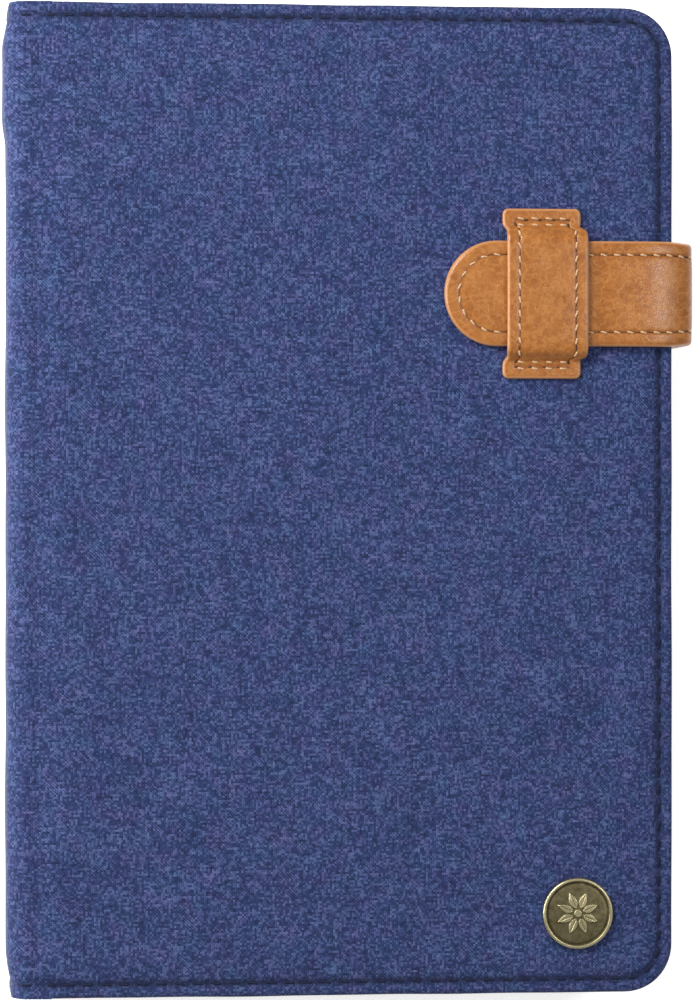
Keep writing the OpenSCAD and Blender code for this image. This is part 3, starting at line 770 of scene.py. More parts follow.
BACK_HIGH = node_box("back_outer_fabric")[1]
FRONT_LOW, FRONT_HIGH = node_box("front_outer_fabric")
SPINE_LOW, SPINE_HIGH = node_box("spine_fabric")
BOARD_LOW = node_box("front_board")[0]
PAD_LOW, PAD_HIGH = node_box("front_padding")
LINING_LOW, LINING_HIGH = node_box("front_lining")
BACK_LINING_LOW, BACK_LINING_HIGH = node_box("back_lining")
FORE_X = FRONT_HIGH[0]
HALF_L = FRONT_HIGH[1]
CASE_T = FRONT_HIGH[2]
CORNER_R = 10.5
GROOVE_X = BOARD_LOW[0] - 0.4
SPINE_R = 4.2
ROLL_X = SPINE_LOW[0] + 0.3 + SPINE_R
ROLL_DROP = 0.42
LAP_X = GROOVE_X + 3.4
PANEL = (GROOVE_X, FORE_X, HALF_L)
PANEL_RADII = (0.9, CORNER_R)
COUNTS = (180, 116, 14)


def edge_wobble(xy):
    """Small unevenness of a sewn edge, in millimetres."""
    return 0.10 * wave(xy[:, 0] + 0.6 * xy[:, 1], (23, 41, 67))


def channel_depth(gap, xy):
    """Depth of the sewn channel at a distance from the edge, deeper at each pricked hole."""
    cover = sizes("cover")
    shape = np.exp(-(((gap - cover.stitch_inset) / 0.75) ** 2))
    run = np.where(np.abs(xy[:, 1]) > HALF_L - 5.5, xy[:, 0], xy[:, 1])
    pull = 1 + 0.38 * np.cos(2 * math.pi * run / cover.stitch_pitch)
    return cover.channel * shape * pull


def roll_off(x):
    """How far a cover's face falls as it nears the spine's round corner."""
    return ROLL_DROP * (1 - smooth(ROLL_X, ROLL_X + 8.0, x))


def panel_height(xy, crown):
    """Height of a cover's face over its flat face, with the seam's channel and the spine groove."""
    gap = edge_distance(xy, PANEL, CORNER_R)
    from_groove = xy[:, 0] - GROOVE_X
    lift = crown * smooth(3.0, 9.0, gap) * smooth(0.5, 7.0, from_groove)
    cushion = 0.16 * crown * (wave(xy[:, 0], (61, 97), 0.4) + wave(xy[:, 1], (74, 131), 1.1))
    fine = 0.02 * crown * (wave(xy[:, 0] + 0.4 * xy[:, 1], (9, 13), 0.2) + wave(xy[:, 1], (11, 17), 2.0))
    seam = channel_depth(gap, xy)
    groove = 0.16 * np.exp(-(((from_groove - 0.3) / 1.3) ** 2))
    calm = smooth(4.0, 14.0, gap) * smooth(1.0, 8.0, from_groove)
    return lift + (cushion + fine) * calm - seam - groove - roll_off(xy[:, 0])


def rolled_edge(thick, hem):
    """Insets, depths below the face and flat reach of a folded edge, from the face to its hem."""
    r = thick / 2
    points = [(1.55, 0.0), (1.15, 0.02), (0.8, 0.10)]
    for a in np.linspace(50, -90, 11):
        points.append((0.75 - 0.75 * math.cos(math.radians(a)), r - r * math.sin(math.radians(a))))
    points += [(1.4, thick), (mix(1.4, hem, 0.5), thick), (hem, thick)]
    points = np.array(points)
    step = np.hypot(*np.diff(points, axis=0).T)
    return points, np.concatenate([[0], np.cumsum(step)])


def cover_panel(name, body, face_z, way, thick, crown, window=None):
    """A cover's canvas: the face, the folded edge and the hem, with the seam's channel pressed in.
    way is 1 where the face looks up and -1 where it looks down; window is a hole's box."""
    insets = [1.55, 1.85, 2.1, 2.3, 2.5, 2.7, 2.9, 3.1, 3.35, 3.7, 4.2, 5.0, 6.2, 8.0, CORNER_R, 12.5]
    parts = Parts()
    profile, reach = rolled_edge(thick, 3.4)
    n = len(ring(PANEL, PANEL_RADII, 0, COUNTS))
    rings, cloth = [], []

    def put(xy, z, flat):
        rings.append(np.column_stack([xy, z]))
        cloth.append(np.column_stack([flat, np.zeros(len(flat))]))

    for inset in insets[::-1]:
        xy = ring(PANEL, PANEL_RADII, inset, COUNTS)
        put(xy, face_z + way * panel_height(xy, crown), xy)
    for (inset, depth), far in zip(profile[1:], reach[1:]):
        xy = ring(PANEL, PANEL_RADII, inset, COUNTS)
        top = panel_height(ring(PANEL, PANEL_RADII, 1.55, COUNTS), crown)
        fade = 1 - smooth(0.0, 0.6 * thick, depth)
        centre = np.array([(PANEL[0] + PANEL[1]) / 2, 0.0])
        out = (xy - centre) / np.linalg.norm(xy - centre, axis=1)[:, None]
        moved = xy + out * edge_wobble(xy)[:, None] * (inset < 1.2)
        put(moved, face_z + way * (top * fade - depth), ring(PANEL, PANEL_RADII, 1.55 - far, COUNTS))
    hem_xy = ring(PANEL, PANEL_RADII, 3.4, COUNTS)
    inner = 0.55 if thick > 3 else 0.62
    put(hem_xy, np.full(n, face_z - way * inner), ring(PANEL, PANEL_RADII, 1.55 - reach[-1] - 2, COUNTS))
    if window is None:
        for inset in (7.0, CORNER_R, 12.5):
            xy = ring(PANEL, PANEL_RADII, inset, COUNTS)
            put(xy, np.full(n, face_z - way * inner), xy)
        xy, faces = lid(PANEL, insets[-1], COUNTS)
        for z in (face_z + way * panel_height(xy, crown), np.full(len(xy), face_z - way * inner)):
            parts.add(np.column_stack([xy, z]), faces, 0, cloth=np.column_stack([xy, 0 * z]))
    else:
        hole = (window[0], window[1], window[2])
        first_ring = rings[0].copy()
        walls = [(1.2, 0.0), (0.5, 0.0), (0.15, 0.06), (0.0, 0.25), (0.0, thick - 0.1)]
        inside = []
        edge_xy = ring(hole, (0.8, 0.8), 0, COUNTS)
        for t in (0.25, 0.5, 0.75):
            xy = mix(first_ring[:, :2], edge_xy, t)
            inside.append((xy, face_z + way * panel_height(xy, crown) * (1 - t)))
        for out, depth in walls:
            xy = ring((hole[0] - out, hole[1] + out, hole[2] + out), (0.8, 0.8), 0, COUNTS)
            inside.append((xy, np.full(n, face_z - way * depth)))
        hem_in = ring((hole[0] - 3, hole[1] + 3, hole[2] + 3), (0.8, 0.8), 0, COUNTS)
        inside.append((hem_in, np.full(n, face_z - way * inner)))
        inside.append((hem_xy, np.full(n, face_z - way * inner)))
        for xy, z in inside[:-1]:
            rings.insert(0, np.column_stack([xy, z]))
            cloth.insert(0, np.column_stack([xy, np.zeros(n)]))
        rings.insert(0, rings[-1].copy())
        cloth.insert(0, cloth[-1].copy())
    verts = np.concatenate(rings)
    parts.add(verts, band_faces(len(rings), n, close=True), 0, cloth=np.concatenate(cloth))
    everything = np.concatenate(parts.verts)
    gap = edge_distance(everything[:, :2], PANEL, CORNER_R)
    # Painted shade: darker along the seam's channel and on the folded edge, which turns away from the light.
    shade = 0.72 * np.exp(-(((gap - sizes("cover").stitch_inset) / 0.95) ** 2)) + 0.30 * (gap < 0.5)
    parts.marks["shade"] = [np.clip(shade, 0, 1)]
    piece = parts.piece(name, [finish_of("canvas")], body)
    return piece


def cover_seam(name, body, face_z, way, crown, far_x):
    """The dark thread of a cover's seam, on the face side."""
    cover = sizes("cover")
    path = seam_path((far_x, FORE_X, HALF_L), CORNER_R, cover.stitch_inset)
    z = face_z + way * (panel_height(path, crown) + 0.02)
    path = np.column_stack([path, z])
    parts = Parts()
    normals = np.tile(UP * way, (len(path), 1))
    stitches(parts, path, normals, cover.stitch_pitch, 3.0, 0.27, 0.08, slant=0.12, seed=3)
    piece = parts.piece(name, [finish_of("navy_thread")], body)
    return piece


def lining_sheet(name, body, low, high, way, node):
    """Lining cloth of a cover, with its turned edge and the mark of the seam."""
    box = (GROOVE_X + 1.0, high[0], high[1])
    radii = (0.6, CORNER_R - 0.6)
    counts = (90, 60, 10)
    face, back = (low[2], high[2]) if way < 0 else (high[2], low[2])
    insets = [CORNER_R, 3.0, 2.5, 2.1, 1.7, 1.2, 0.5, 0.15, 0.0]
    depth = {2.1: 0.16, 2.5: 0.08, 1.7: 0.08, 0.15: 0.06, 0.0: 0.22}
    rings = []
    for inset in insets:
        xy = ring(box, radii, inset, counts)
        rings.append(np.column_stack([xy, np.full(len(xy), face - way * depth.get(inset, 0.0))]))
    for inset in (0.1, CORNER_R):
        xy = ring(box, radii, inset, counts)
        rings.append(np.column_stack([xy, np.full(len(xy), back)]))
    parts = Parts()
    for z in (face, back):
        spot, faces = lid(box, CORNER_R, counts)
        where = np.column_stack([spot, np.full(len(spot), z)])
        parts.add(where, faces, 0, cloth=where)
    verts = np.concatenate(rings)
    parts.add(verts, band_faces(len(rings), len(xy), close=True), 0, cloth=verts)
    piece = parts.piece(name, [finish_of("lining")], body)
    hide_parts(node)
    return piece


class CASE_OT_covers(bpy.types.Operator):
    """Make the canvas and lining of both covers, with their seams"""

    bl_idname = "case.covers"
    bl_label = "Covers"

    def execute(self, context):
        cover = sizes("cover")
        front = cover_panel(
            "front_cover_canvas", "front_cover", CASE_T, 1, CASE_T - FRONT_LOW[2], cover.crown
        )
        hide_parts("front_outer_fabric")
        stand_low, stand_high = node_box("kickstand_board")
        hinge_x = node_box("kickstand_hinge_cloth")[1][0]
        window = (stand_low[0] - 0.6, hinge_x, stand_high[1] + 0.6)
        back = cover_panel(
            "back_cover_canvas", "back_cover", 0.0, -1, BACK_HIGH[2], 0.0, window=window
        )
        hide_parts("back_outer_fabric")
        cover_seam("front_seam_thread", "front_cover", CASE_T, 1, cover.crown, GROOVE_X + 1)
        cover_seam("back_seam_thread", "back_cover", 0.25, -1, 0.0, GROOVE_X + 1)
        lining_sheet("front_lining_cloth", "front_cover", LINING_LOW, LINING_HIGH, -1, "front_lining")
        lining_sheet(
            "back_lining_cloth", "back_cover", BACK_LINING_LOW, BACK_LINING_HIGH, 1, "back_lining"
        )
        return {"FINISHED"}


# ---------- Spine ----------


def swept_cloth(name, path, flat, half, thick, material, lift=None, steps=216, turned=None):
    """Cloth carried along Y from a path in X and Z, with its thickness and turned ends. lift gives
    the face's height over the path, and its shade, at points in X and Y. turned is how far the
    cloth's ends fold inwards at each point of the path."""
    step = np.gradient(path, axis=0)
    step /= np.linalg.norm(step, axis=1)[:, None]
    normal = np.column_stack([step[:, 1], -step[:, 0]])
    ends = np.array([0.0, 0.05, 0.2, 0.5, 1.0, 1.6, 2.2, 2.5, 2.7, 2.9, 3.2, 3.8, 5.0])
    inner = np.linspace(-half + 7, half - 7, steps)
    ys = np.concatenate([ends - half, inner, half - ends[::-1]])
    swell = np.sqrt(np.clip(1 - (1 - np.clip((half - np.abs(ys)) / 0.5, 0, 1)) ** 2, 0, 1))
    rows, cloth, shade = [], [], []
    for y, full in zip(ys, swell):
        rise = np.full(len(path), thick / 2 * full)
        dark = np.zeros(len(path))
        if lift:
            extra, dark = lift(path[:, 0], np.full(len(path), y))
            rise = rise + extra
        face = path + normal * rise[:, None]
        rear = path - normal * thick / 2 * full
        if turned is not None and half - abs(y) < 3.5:
            rear = rear - normal * turned[:, None] * min(1.0, (half - abs(y)) / 0.3)
        loop = np.concatenate([face, rear[::-1]])
        rows.append(np.column_stack([loop[:, 0], np.full(len(loop), y), loop[:, 1]]))
        spread = np.concatenate([flat, flat[::-1]])
        cloth.append(np.column_stack([spread, np.full(len(loop), y), 0 * spread]))
        shade.append(np.concatenate([dark, dark[::-1]]))
    count = len(rows[0])
    faces = band_faces(len(rows), count, close=True)
    faces += [tuple(range(count)), tuple(range((len(rows) - 1) * count, len(rows) * count))[::-1]]
    marks = {"cloth": np.concatenate(cloth), "shade": np.clip(np.concatenate(shade), 0, 1)}
    return make_piece(name, np.concatenate(rows), faces, [material], None, marks)


def spine_lift(x, y):
    """Height of the spine's canvas over its plain path, and the painted shade in its seam's channel."""
    crown = sizes("cover").crown
    gap = HALF_L - np.abs(y)
    seam = sizes("cover").channel * np.exp(-(((gap - sizes("cover").stitch_inset) / 0.75) ** 2))
    xy = np.column_stack([x, y])
    over_panel = panel_height(xy, crown) + roll_off(x) + 0.04 - 0.16 * smooth(LAP_X - 2.2, LAP_X, x)
    part = smooth(ROLL_X, GROOVE_X, x)
    return mix(-seam, over_panel, part), 0.9 * seam


def arc(cx, cz, r, a0, a1, n):
    a = np.radians(np.linspace(a0, a1, n))
    return np.column_stack([cx + r * np.cos(a), cz + r * np.sin(a)])


def joined(*pieces):
    """Path through several runs of points, evenly spaced, with its distance along it."""
    points = np.concatenate(pieces)
    keep = np.concatenate([[True], np.linalg.norm(np.diff(points, axis=0), axis=1) > 1e-6])
    points = points[keep]
    at = np.concatenate([[0], np.cumsum(np.linalg.norm(np.diff(points, axis=0), axis=1))])
    even = np.linspace(0, at[-1], max(3, int(at[-1] / 0.45)))
    return np.column_stack([np.interp(even, at, points[:, k]) for k in range(2)]), even


class CASE_OT_spine(bpy.types.Operator):
    """Make the canvas and lining that wrap round the spine"""

    bl_idname = "case.spine"
    bl_label = "Spine"

    def execute(self, context):
        outer_x = SPINE_LOW[0] + 0.3
        middle = CASE_T / 2
        over_x = np.linspace(LAP_X, ROLL_X, 20)
        over = np.column_stack([over_x, CASE_T - 0.3 - roll_off(over_x)])
        top = arc(ROLL_X, CASE_T - 0.3 - ROLL_DROP - SPINE_R, SPINE_R, 90, 180, 22)
        front, flat = joined(over, top, np.array([(outer_x, middle)]))
        self.wrap("front_spine_canvas", front, LAP_X - flat, ("spine", "front_cover"), "front")
        mirrored = front * (1, -1) + (0, CASE_T)
        back_flat = LAP_X - 2 * flat[-1] + flat
        self.wrap("back_spine_canvas", mirrored, back_flat, ("spine", "back_cover"), "back")
        inside_x = node_box("spine_lining")[1][0] - 0.2
        edge = GROOVE_X + 1.2
        for name, z_face, way, cover_body in (
            ("front_spine_lining", LINING_LOW[2] + 0.25, 1, "front_cover"),
            ("back_spine_lining", BACK_LINING_HIGH[2] - 0.25, -1, "back_cover"),
        ):
            bend = arc(inside_x + 1.2, -1.2, 1.2, 90, 180, 8) * (1, way) + (0, z_face)
            run, flat = joined(np.array([(edge, z_face)]), bend, np.array([(inside_x, middle)]))
            piece = swept_cloth(
                name, run, flat, SPINE_HIGH[1] - 0.6, 0.4, finish_of("lining"), None, 60
            )
            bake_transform(piece)
            if name.startswith("front"):
                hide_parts("spine_lining")
        self.board()
        return {"FINISHED"}

    def wrap(self, name, run, flat, bodies, side):
        way = 1 if side == "front" else -1
        if way < 0:
            run, flat = run[::-1], flat[::-1]
        middle_z = np.abs(run[:, 1] - CASE_T / 2)
        fold = 1.5 * (1 - smooth(CASE_T / 2 - 4.6, CASE_T / 2 - 3.4, middle_z)) * (run[:, 0] < ROLL_X)
        piece = swept_cloth(
            name, run, flat, HALF_L, 0.6, finish_of("canvas"), spine_lift, turned=fold
        )
        self.swell(piece)
        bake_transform(piece)
        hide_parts("hinge_cloth_" + side, *(["spine_fabric"] if side == "front" else []))
        cover = sizes("cover")
        parts = Parts()
        reach = run[(run[:, 0] > SPINE_LOW[0] + 1.2) & (run[:, 0] < GROOVE_X + 1.0)]
        step = np.gradient(reach, axis=0)
        step /= np.linalg.norm(step, axis=1)[:, None]
        normal = np.column_stack([step[:, 1], np.zeros(len(step)), -step[:, 0]])
        for sign in (-1, 1):
            y = np.full(len(reach), sign * (HALF_L - cover.stitch_inset))
            rise = 0.3 + spine_lift(reach[:, 0], y)[0]
            path = np.column_stack([reach[:, 0], y, reach[:, 1]]) + normal * rise[:, None]
            stitches(parts, path, normal, cover.stitch_pitch, 3.0, 0.22, 0.10, seed=5)
        thread = parts.piece(f"{side}_spine_thread", [finish_of("navy_thread")])
        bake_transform(thread)

    def swell(self, piece):
        """The wrapped spine stands out a little near its upper end and is slightly uneven."""
        for vertex in piece.data.vertices:
            x, y = (vertex.co / MM)[:2]
            side = float(1 - smooth(SPINE_LOW[0] + 1.0, GROOVE_X - 1.0, x))
            bulge = 0.75 * smooth(77, 84, y) * (1 - smooth(99, 104, y))
            uneven = 0.12 * wave(y, (29, 47, 83))
            vertex.co.x += (-bulge + self.taper(y) + uneven) * side * MM

    def taper(self, y):
        """How far the spine's outside is drawn in towards its ends."""
        return 0.8 * smooth(98, 107, -y) + 0.4 * smooth(104, 107, y)

    def board(self):
        """The spine's board, pared away where the canvas is drawn in over its ends."""
        low, high = node_box("spine_board")
        clear, pare = 0.25, 0.3
        rows = []
        for y in np.linspace(low[1] + pare, high[1] - pare, 120):
            outer, inner = low[0] + clear + self.taper(y), high[0] + self.taper(y) * 0.5
            outline = [(outer, low[2] + pare), (outer + pare, low[2]), (inner, low[2]),
                       (inner, high[2]), (outer + pare, high[2]), (outer, high[2] - pare)]
            rows.append(np.array([(x, y, z) for x, z in outline]))
        count = len(rows[0])
        faces = band_faces(len(rows), count, close=True)
        last = (len(rows) - 1) * count
        faces += [tuple(range(count)), tuple(range(last, last + count))[::-1]]
        piece = make_piece("spine_card", np.concatenate(rows), faces, [finish_of("fibre_board")], "spine")
        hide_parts("spine_board")


# ---------- Kickstand ----------


class CASE_OT_kickstand(bpy.types.Operator):
    """Make the canvas sheath of the kickstand flap, hinged to the back cover along one edge"""

    bl_idname = "case.kickstand"
    bl_label = "Kickstand cover"

    def execute(self, context):
        low, high = node_box("kickstand_board")
        hinge = node_box("kickstand_hinge_cloth")[1][0]
        box = (low[0] - 0.25, high[0] + 0.2, high[1] + 0.25)
        counts = (90, 60, 5)
        top = high[2] + 0.04
        # Insets and heights of the sheath, from the outer face round to the inner one
        rim = [(4.0, 0.02), (3.0, 0.02), (2.7, 0.14), (2.4, 0.18), (2.1, 0.14), (1.8, 0.02), (0.8, 0.0),
               (0.3, 0.08), (0.05, 0.35), (0.0, 0.8), (0.0, top - 0.6), (0.05, top - 0.25), (0.3, top),
               (1.2, top), (4.0, top)]
        radii = (1.2, 1.2)
        parts = Parts()
        rings = []
        for inset, z in rim:
            xy = ring(box, radii, inset, counts)
            rings.append(np.column_stack([xy, np.full(len(xy), z)]))
        verts = np.concatenate(rings)
        parts.add(verts, band_faces(len(rings), len(rings[0]), close=True), 0, cloth=verts)
        for inset, z in ((rim[0][0], rim[0][1]), (rim[-1][0], rim[-1][1])):
            spot, faces = lid(box, inset, counts)
            where = np.column_stack([spot, np.full(len(spot), z)])
            parts.add(where, faces, 0, cloth=where)
        strip_x = np.linspace(high[0] - 1.5, hinge + 0.5, 9)
        thin = np.full(len(strip_x), 0.16)
        face = np.column_stack([strip_x, 0.30 - thin])
        rear = np.column_stack([strip_x, 0.36 + thin])
        loop = np.concatenate([face, rear[::-1]])
        rows = [np.column_stack([loop[:, 0], np.full(len(loop), y), loop[:, 1]])
                for y in np.linspace(-high[1] + 0.6, high[1] - 0.6, 100)]
        count = len(loop)
        faces = band_faces(len(rows), count, close=True)
        faces += [tuple(range(count)), tuple(range((len(rows) - 1) * count, len(rows) * count))[::-1]]
        parts.add(np.concatenate(rows), faces, 0, cloth=np.concatenate(rows))
        everything = np.concatenate(parts.verts)
        gap = np.minimum(everything[:, 0] - box[0], box[2] - np.abs(everything[:, 1]))
        # Painted shade along the sheath's seam channel.
        parts.marks["shade"] = [0.4 * np.exp(-(((gap - 2.4) / 0.7) ** 2))]
        piece = parts.piece("kickstand_canvas", [finish_of("canvas")])
        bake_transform(piece)
        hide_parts("kickstand_fabric", "kickstand_hinge_cloth")
        cover = sizes("cover")
        inner = 2.4
        corners = [(box[1] - 3, inner - box[2]), (box[0] + inner, inner - box[2]),
                   (box[0] + inner, box[2] - inner), (box[1] - 3, box[2] - inner)]
        path = []
        for a, b in zip(corners[:-1], corners[1:]):
            n = int(math.dist(a, b) / 0.4)
            path += [(mix(a[0], b[0], k / n), mix(a[1], b[1], k / n), 0.17) for k in range(n)]
        path = np.array(path)
        seam = Parts()
        stitches(seam, path, np.tile(-UP, (len(path), 1)), cover.stitch_pitch, 3.0, 0.2, 0.12, seed=9)
        thread = seam.piece("kickstand_thread", [finish_of("navy_thread")], "kickstand")
        return {"FINISHED"}


# ---------- Leather ----------

LEATHER_GAPS = np.array(
    [0, 0.03, 0.1, 0.22, 0.4, 0.65, 0.95, 1.3, 1.8, 2.2, 2.45, 2.65, 2.8, 2.95, 3.1, 3.25, 3.4, 3.6, 4.0,
     4.6, 5.4, 6.4, 7.6, 9.0, 10.3]
)


def leather_band(
    parts, centre, normal, across, half, thick, groove, end_gap, offset=0.0, crown=0.12, crease=None
):
    """Adds a leather band: its middle line, its face's normals, its half width at each point and
    the distance of each point from the band's ends. The face has round edges and a pressed seam."""
    full = half.max()
    gaps = LEATHER_GAPS[LEATHER_GAPS < full - 0.2]
    share = 1 - gaps / full
    share = np.concatenate([-share, share[::-1]])
    at = np.concatenate([[0], np.cumsum(np.linalg.norm(np.diff(centre, axis=0), axis=1))])
    verts, hide, edge, pressed = [], [], [], []
    for k in range(len(centre)):
        y = share * half[k]
        side = half[k] - np.abs(y)
        if callable(end_gap):
            gap = end_gap(k, y)
        else:
            gap = np.minimum(side, end_gap[k])
        gap = np.clip(gap, 0, None)
        swell = np.sqrt(np.clip(1 - (1 - np.clip(gap / (thick * 0.55), 0, 1)) ** 2, 0, 1))
        line = np.exp(-(((gap - groove) / 0.34) ** 2)) * (gap > 1.4)
        rim = 0.4 * np.exp(-(((gap - 0.80) / 0.16) ** 2))
        face = thick / 2 * swell - 0.18 * line - 0.08 * rim + crown * smooth(1.0, 6.0, gap)
        rear = -thick / 2 * swell
        for height, order, is_face in ((face, 1, True), (rear, -1, False)):
            yy, hh, gg = y[::order], height[::order], gap[::order]
            verts.append(centre[k] + across * yy[:, None] + normal[k] * hh[:, None])
            hide.append(np.column_stack([np.full(len(yy), at[k] + offset), yy, hh * (0.5 if is_face else 1)]))
            edge.append((1 - smooth(0.15, 0.7, gg)) * 0.9)
            # The face's pressed seam and edge lines are darkened; crease adds painted shade where the band
            # bends.
            dark = np.maximum(line, rim)[::order] * 0.55
            if crease is not None:
                dark = np.maximum(dark, crease[k])
            pressed.append(dark if is_face else 0 * yy)
    count = 2 * len(share)
    faces = band_faces(len(centre), count, close=True)
    faces += [tuple(range(count)), tuple(range((len(centre) - 1) * count, len(centre) * count))[::-1]]
    parts.add(
        np.concatenate(verts), faces, 0, hide=np.concatenate(hide), edge=np.concatenate(edge),
        groove=np.concatenate(pressed),
    )


def face_height(gap, thick, groove, crown=0.12):
    """Height of a leather band's face over its middle line at a distance from the edge."""
    return thick / 2 - 0.18 * math.exp(-(((gap - groove) / 0.32) ** 2)) + crown * float(smooth(1, 6, gap))


class CASE_OT_strap(bpy.types.Operator):
    """Make the sewn leather strap, from the back cover's seam round the fore-edge to its tip"""

    bl_idname = "case.strap"
    bl_label = "Strap"

    def execute(self, context):
        leather = sizes("leather")
        low, high = node_box("strap_tab")
        side_low, side_high = node_box("strap_side")
        thick = high[2] - low[2]
        half = (high[1] - low[1]) / 2
        middle_y = (high[1] + low[1]) / 2
        edge_x = high[0]
        r = (side_low[0] + side_high[0]) / 2 - edge_x
        top_z = (low[2] + high[2]) / 2
        low_z, high_z = side_low[2], side_high[2]
        tip_x = low[0]
        split = (low_z + high_z) / 2
        root = np.array([(edge_x - 4.0, low_z - r), (edge_x - 0.5, low_z - r)])
        lower = arc(edge_x, low_z, r, -90, 0, 16)
        first, at_first = self.spaced(np.concatenate([root, lower, [(edge_x + r, split)]]), 0.6)
        soft = 5.8
        upper = arc(0, high_z, 1.0, 0, 90, 24) * (r + soft, 1) + (edge_x - soft, 0)
        upper[:, 1] = high_z + (upper[:, 1] - high_z) * r
        run_end = tip_x + half
        straight = np.concatenate([[(edge_x + r, split)], upper, [(run_end, top_z)]])
        second = self.spaced(straight, 0.6)[0]
        arch = smooth(edge_x - 19, edge_x - 12, second[:, 0])
        arch *= 1 - smooth(edge_x - 9, edge_x + 1, second[:, 0])
        second[:, 1] += 0.35 * arch * (second[:, 1] > top_z - 1.5)
        turn = np.linspace(math.pi / 2, 0, 26)[1:]
        tip = np.column_stack([run_end - half * np.cos(turn), np.full(len(turn), top_z)])
        second = np.concatenate([second, tip])
        widths = np.concatenate([np.full(len(second) - len(tip), half), half * np.sin(turn)])
        widths[-1] = 0.02
        narrow = 1 - 0.03 * smooth(edge_x - 2, edge_x + r, second[:, 0])
        widths *= narrow

        def tip_gap(k, y):
            x = second[k, 0]
            if x < run_end:
                return half - np.hypot(run_end - x, y)
            return widths[k] - np.abs(y)

        blends = (
            ("strap_lower", first, np.full(len(first), half * 0.97), None, ("back_cover", "strap_run"), 0.0),
            ("strap_upper", second, widths, tip_gap, ("strap_run", "strap_end"), at_first[-1]),
        )
        for name, run, width, gap, bodies, offset in blends:
            centre = np.column_stack([run[:, 0], np.full(len(run), middle_y), run[:, 1]])
            step = np.gradient(run, axis=0)
            step /= np.linalg.norm(step, axis=1)[:, None]
            normal = np.column_stack([step[:, 1], np.zeros(len(run)), -step[:, 0]])
            parts = Parts()
            ends = gap if gap else np.full(len(run), 99.0)
            leather_band(parts, centre, normal, ACROSS, width, thick, leather.stitch_inset, ends, offset)
            piece = parts.piece(name, [finish_of("leather")])
            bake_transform(piece)
            if name == "strap_lower":
                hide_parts("strap_lower_bend", "strap_side")
            else:
                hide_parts("strap_upper_bend", "strap_tab")
            rise = face_height(leather.stitch_inset, thick, leather.stitch_inset)
            seam = Parts()
            inset = leather.stitch_inset
            if gap:
                keep = run[:, 0] >= run_end - 1e-6
                line, line_n = centre[keep], normal[keep]
                reach = widths[keep] - inset
                a = np.linspace(math.pi / 2, -math.pi / 2, 60)[1:-1]
                around = np.column_stack([
                    run_end - (half - inset) * np.cos(a), middle_y + (half - inset) * np.sin(a),
                    np.full(len(a), top_z)])
                path = np.concatenate([
                    line + ACROSS * reach[:, None], around, (line - ACROSS * reach[:, None])[::-1]])
                path_n = np.concatenate([line_n, np.tile(UP, (len(a), 1)), line_n[::-1]])
                rows = [(path, path_n)]
            else:
                rows = [(centre + ACROSS * s * (half * 0.97 - inset), normal) for s in (-1, 1)]
            for path, path_n in rows:
                stitches(seam, path + path_n * rise, path_n, leather.stitch_pitch, 1.75, 0.23, 0.16,
                         slant=0.22, holes=0.42, seed=11)
            thread = seam.piece(name + "_thread", [finish_of("cream_thread"), finish_of("hole_shade")])
            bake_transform(thread)
        dress("leather", "strap_root")
        return {"FINISHED"}

    def spaced(self, points, step):
        points = np.asarray(points, float)
        keep = np.concatenate([[True], np.linalg.norm(np.diff(points, axis=0), axis=1) > 1e-6])
        points = points[keep]
        at = np.concatenate([[0], np.cumsum(np.linalg.norm(np.diff(points, axis=0), axis=1))])
        even = np.linspace(0, at[-1], max(3, int(at[-1] / step)))
        return np.column_stack([np.interp(even, at, points[:, k]) for k in range(2)]), even


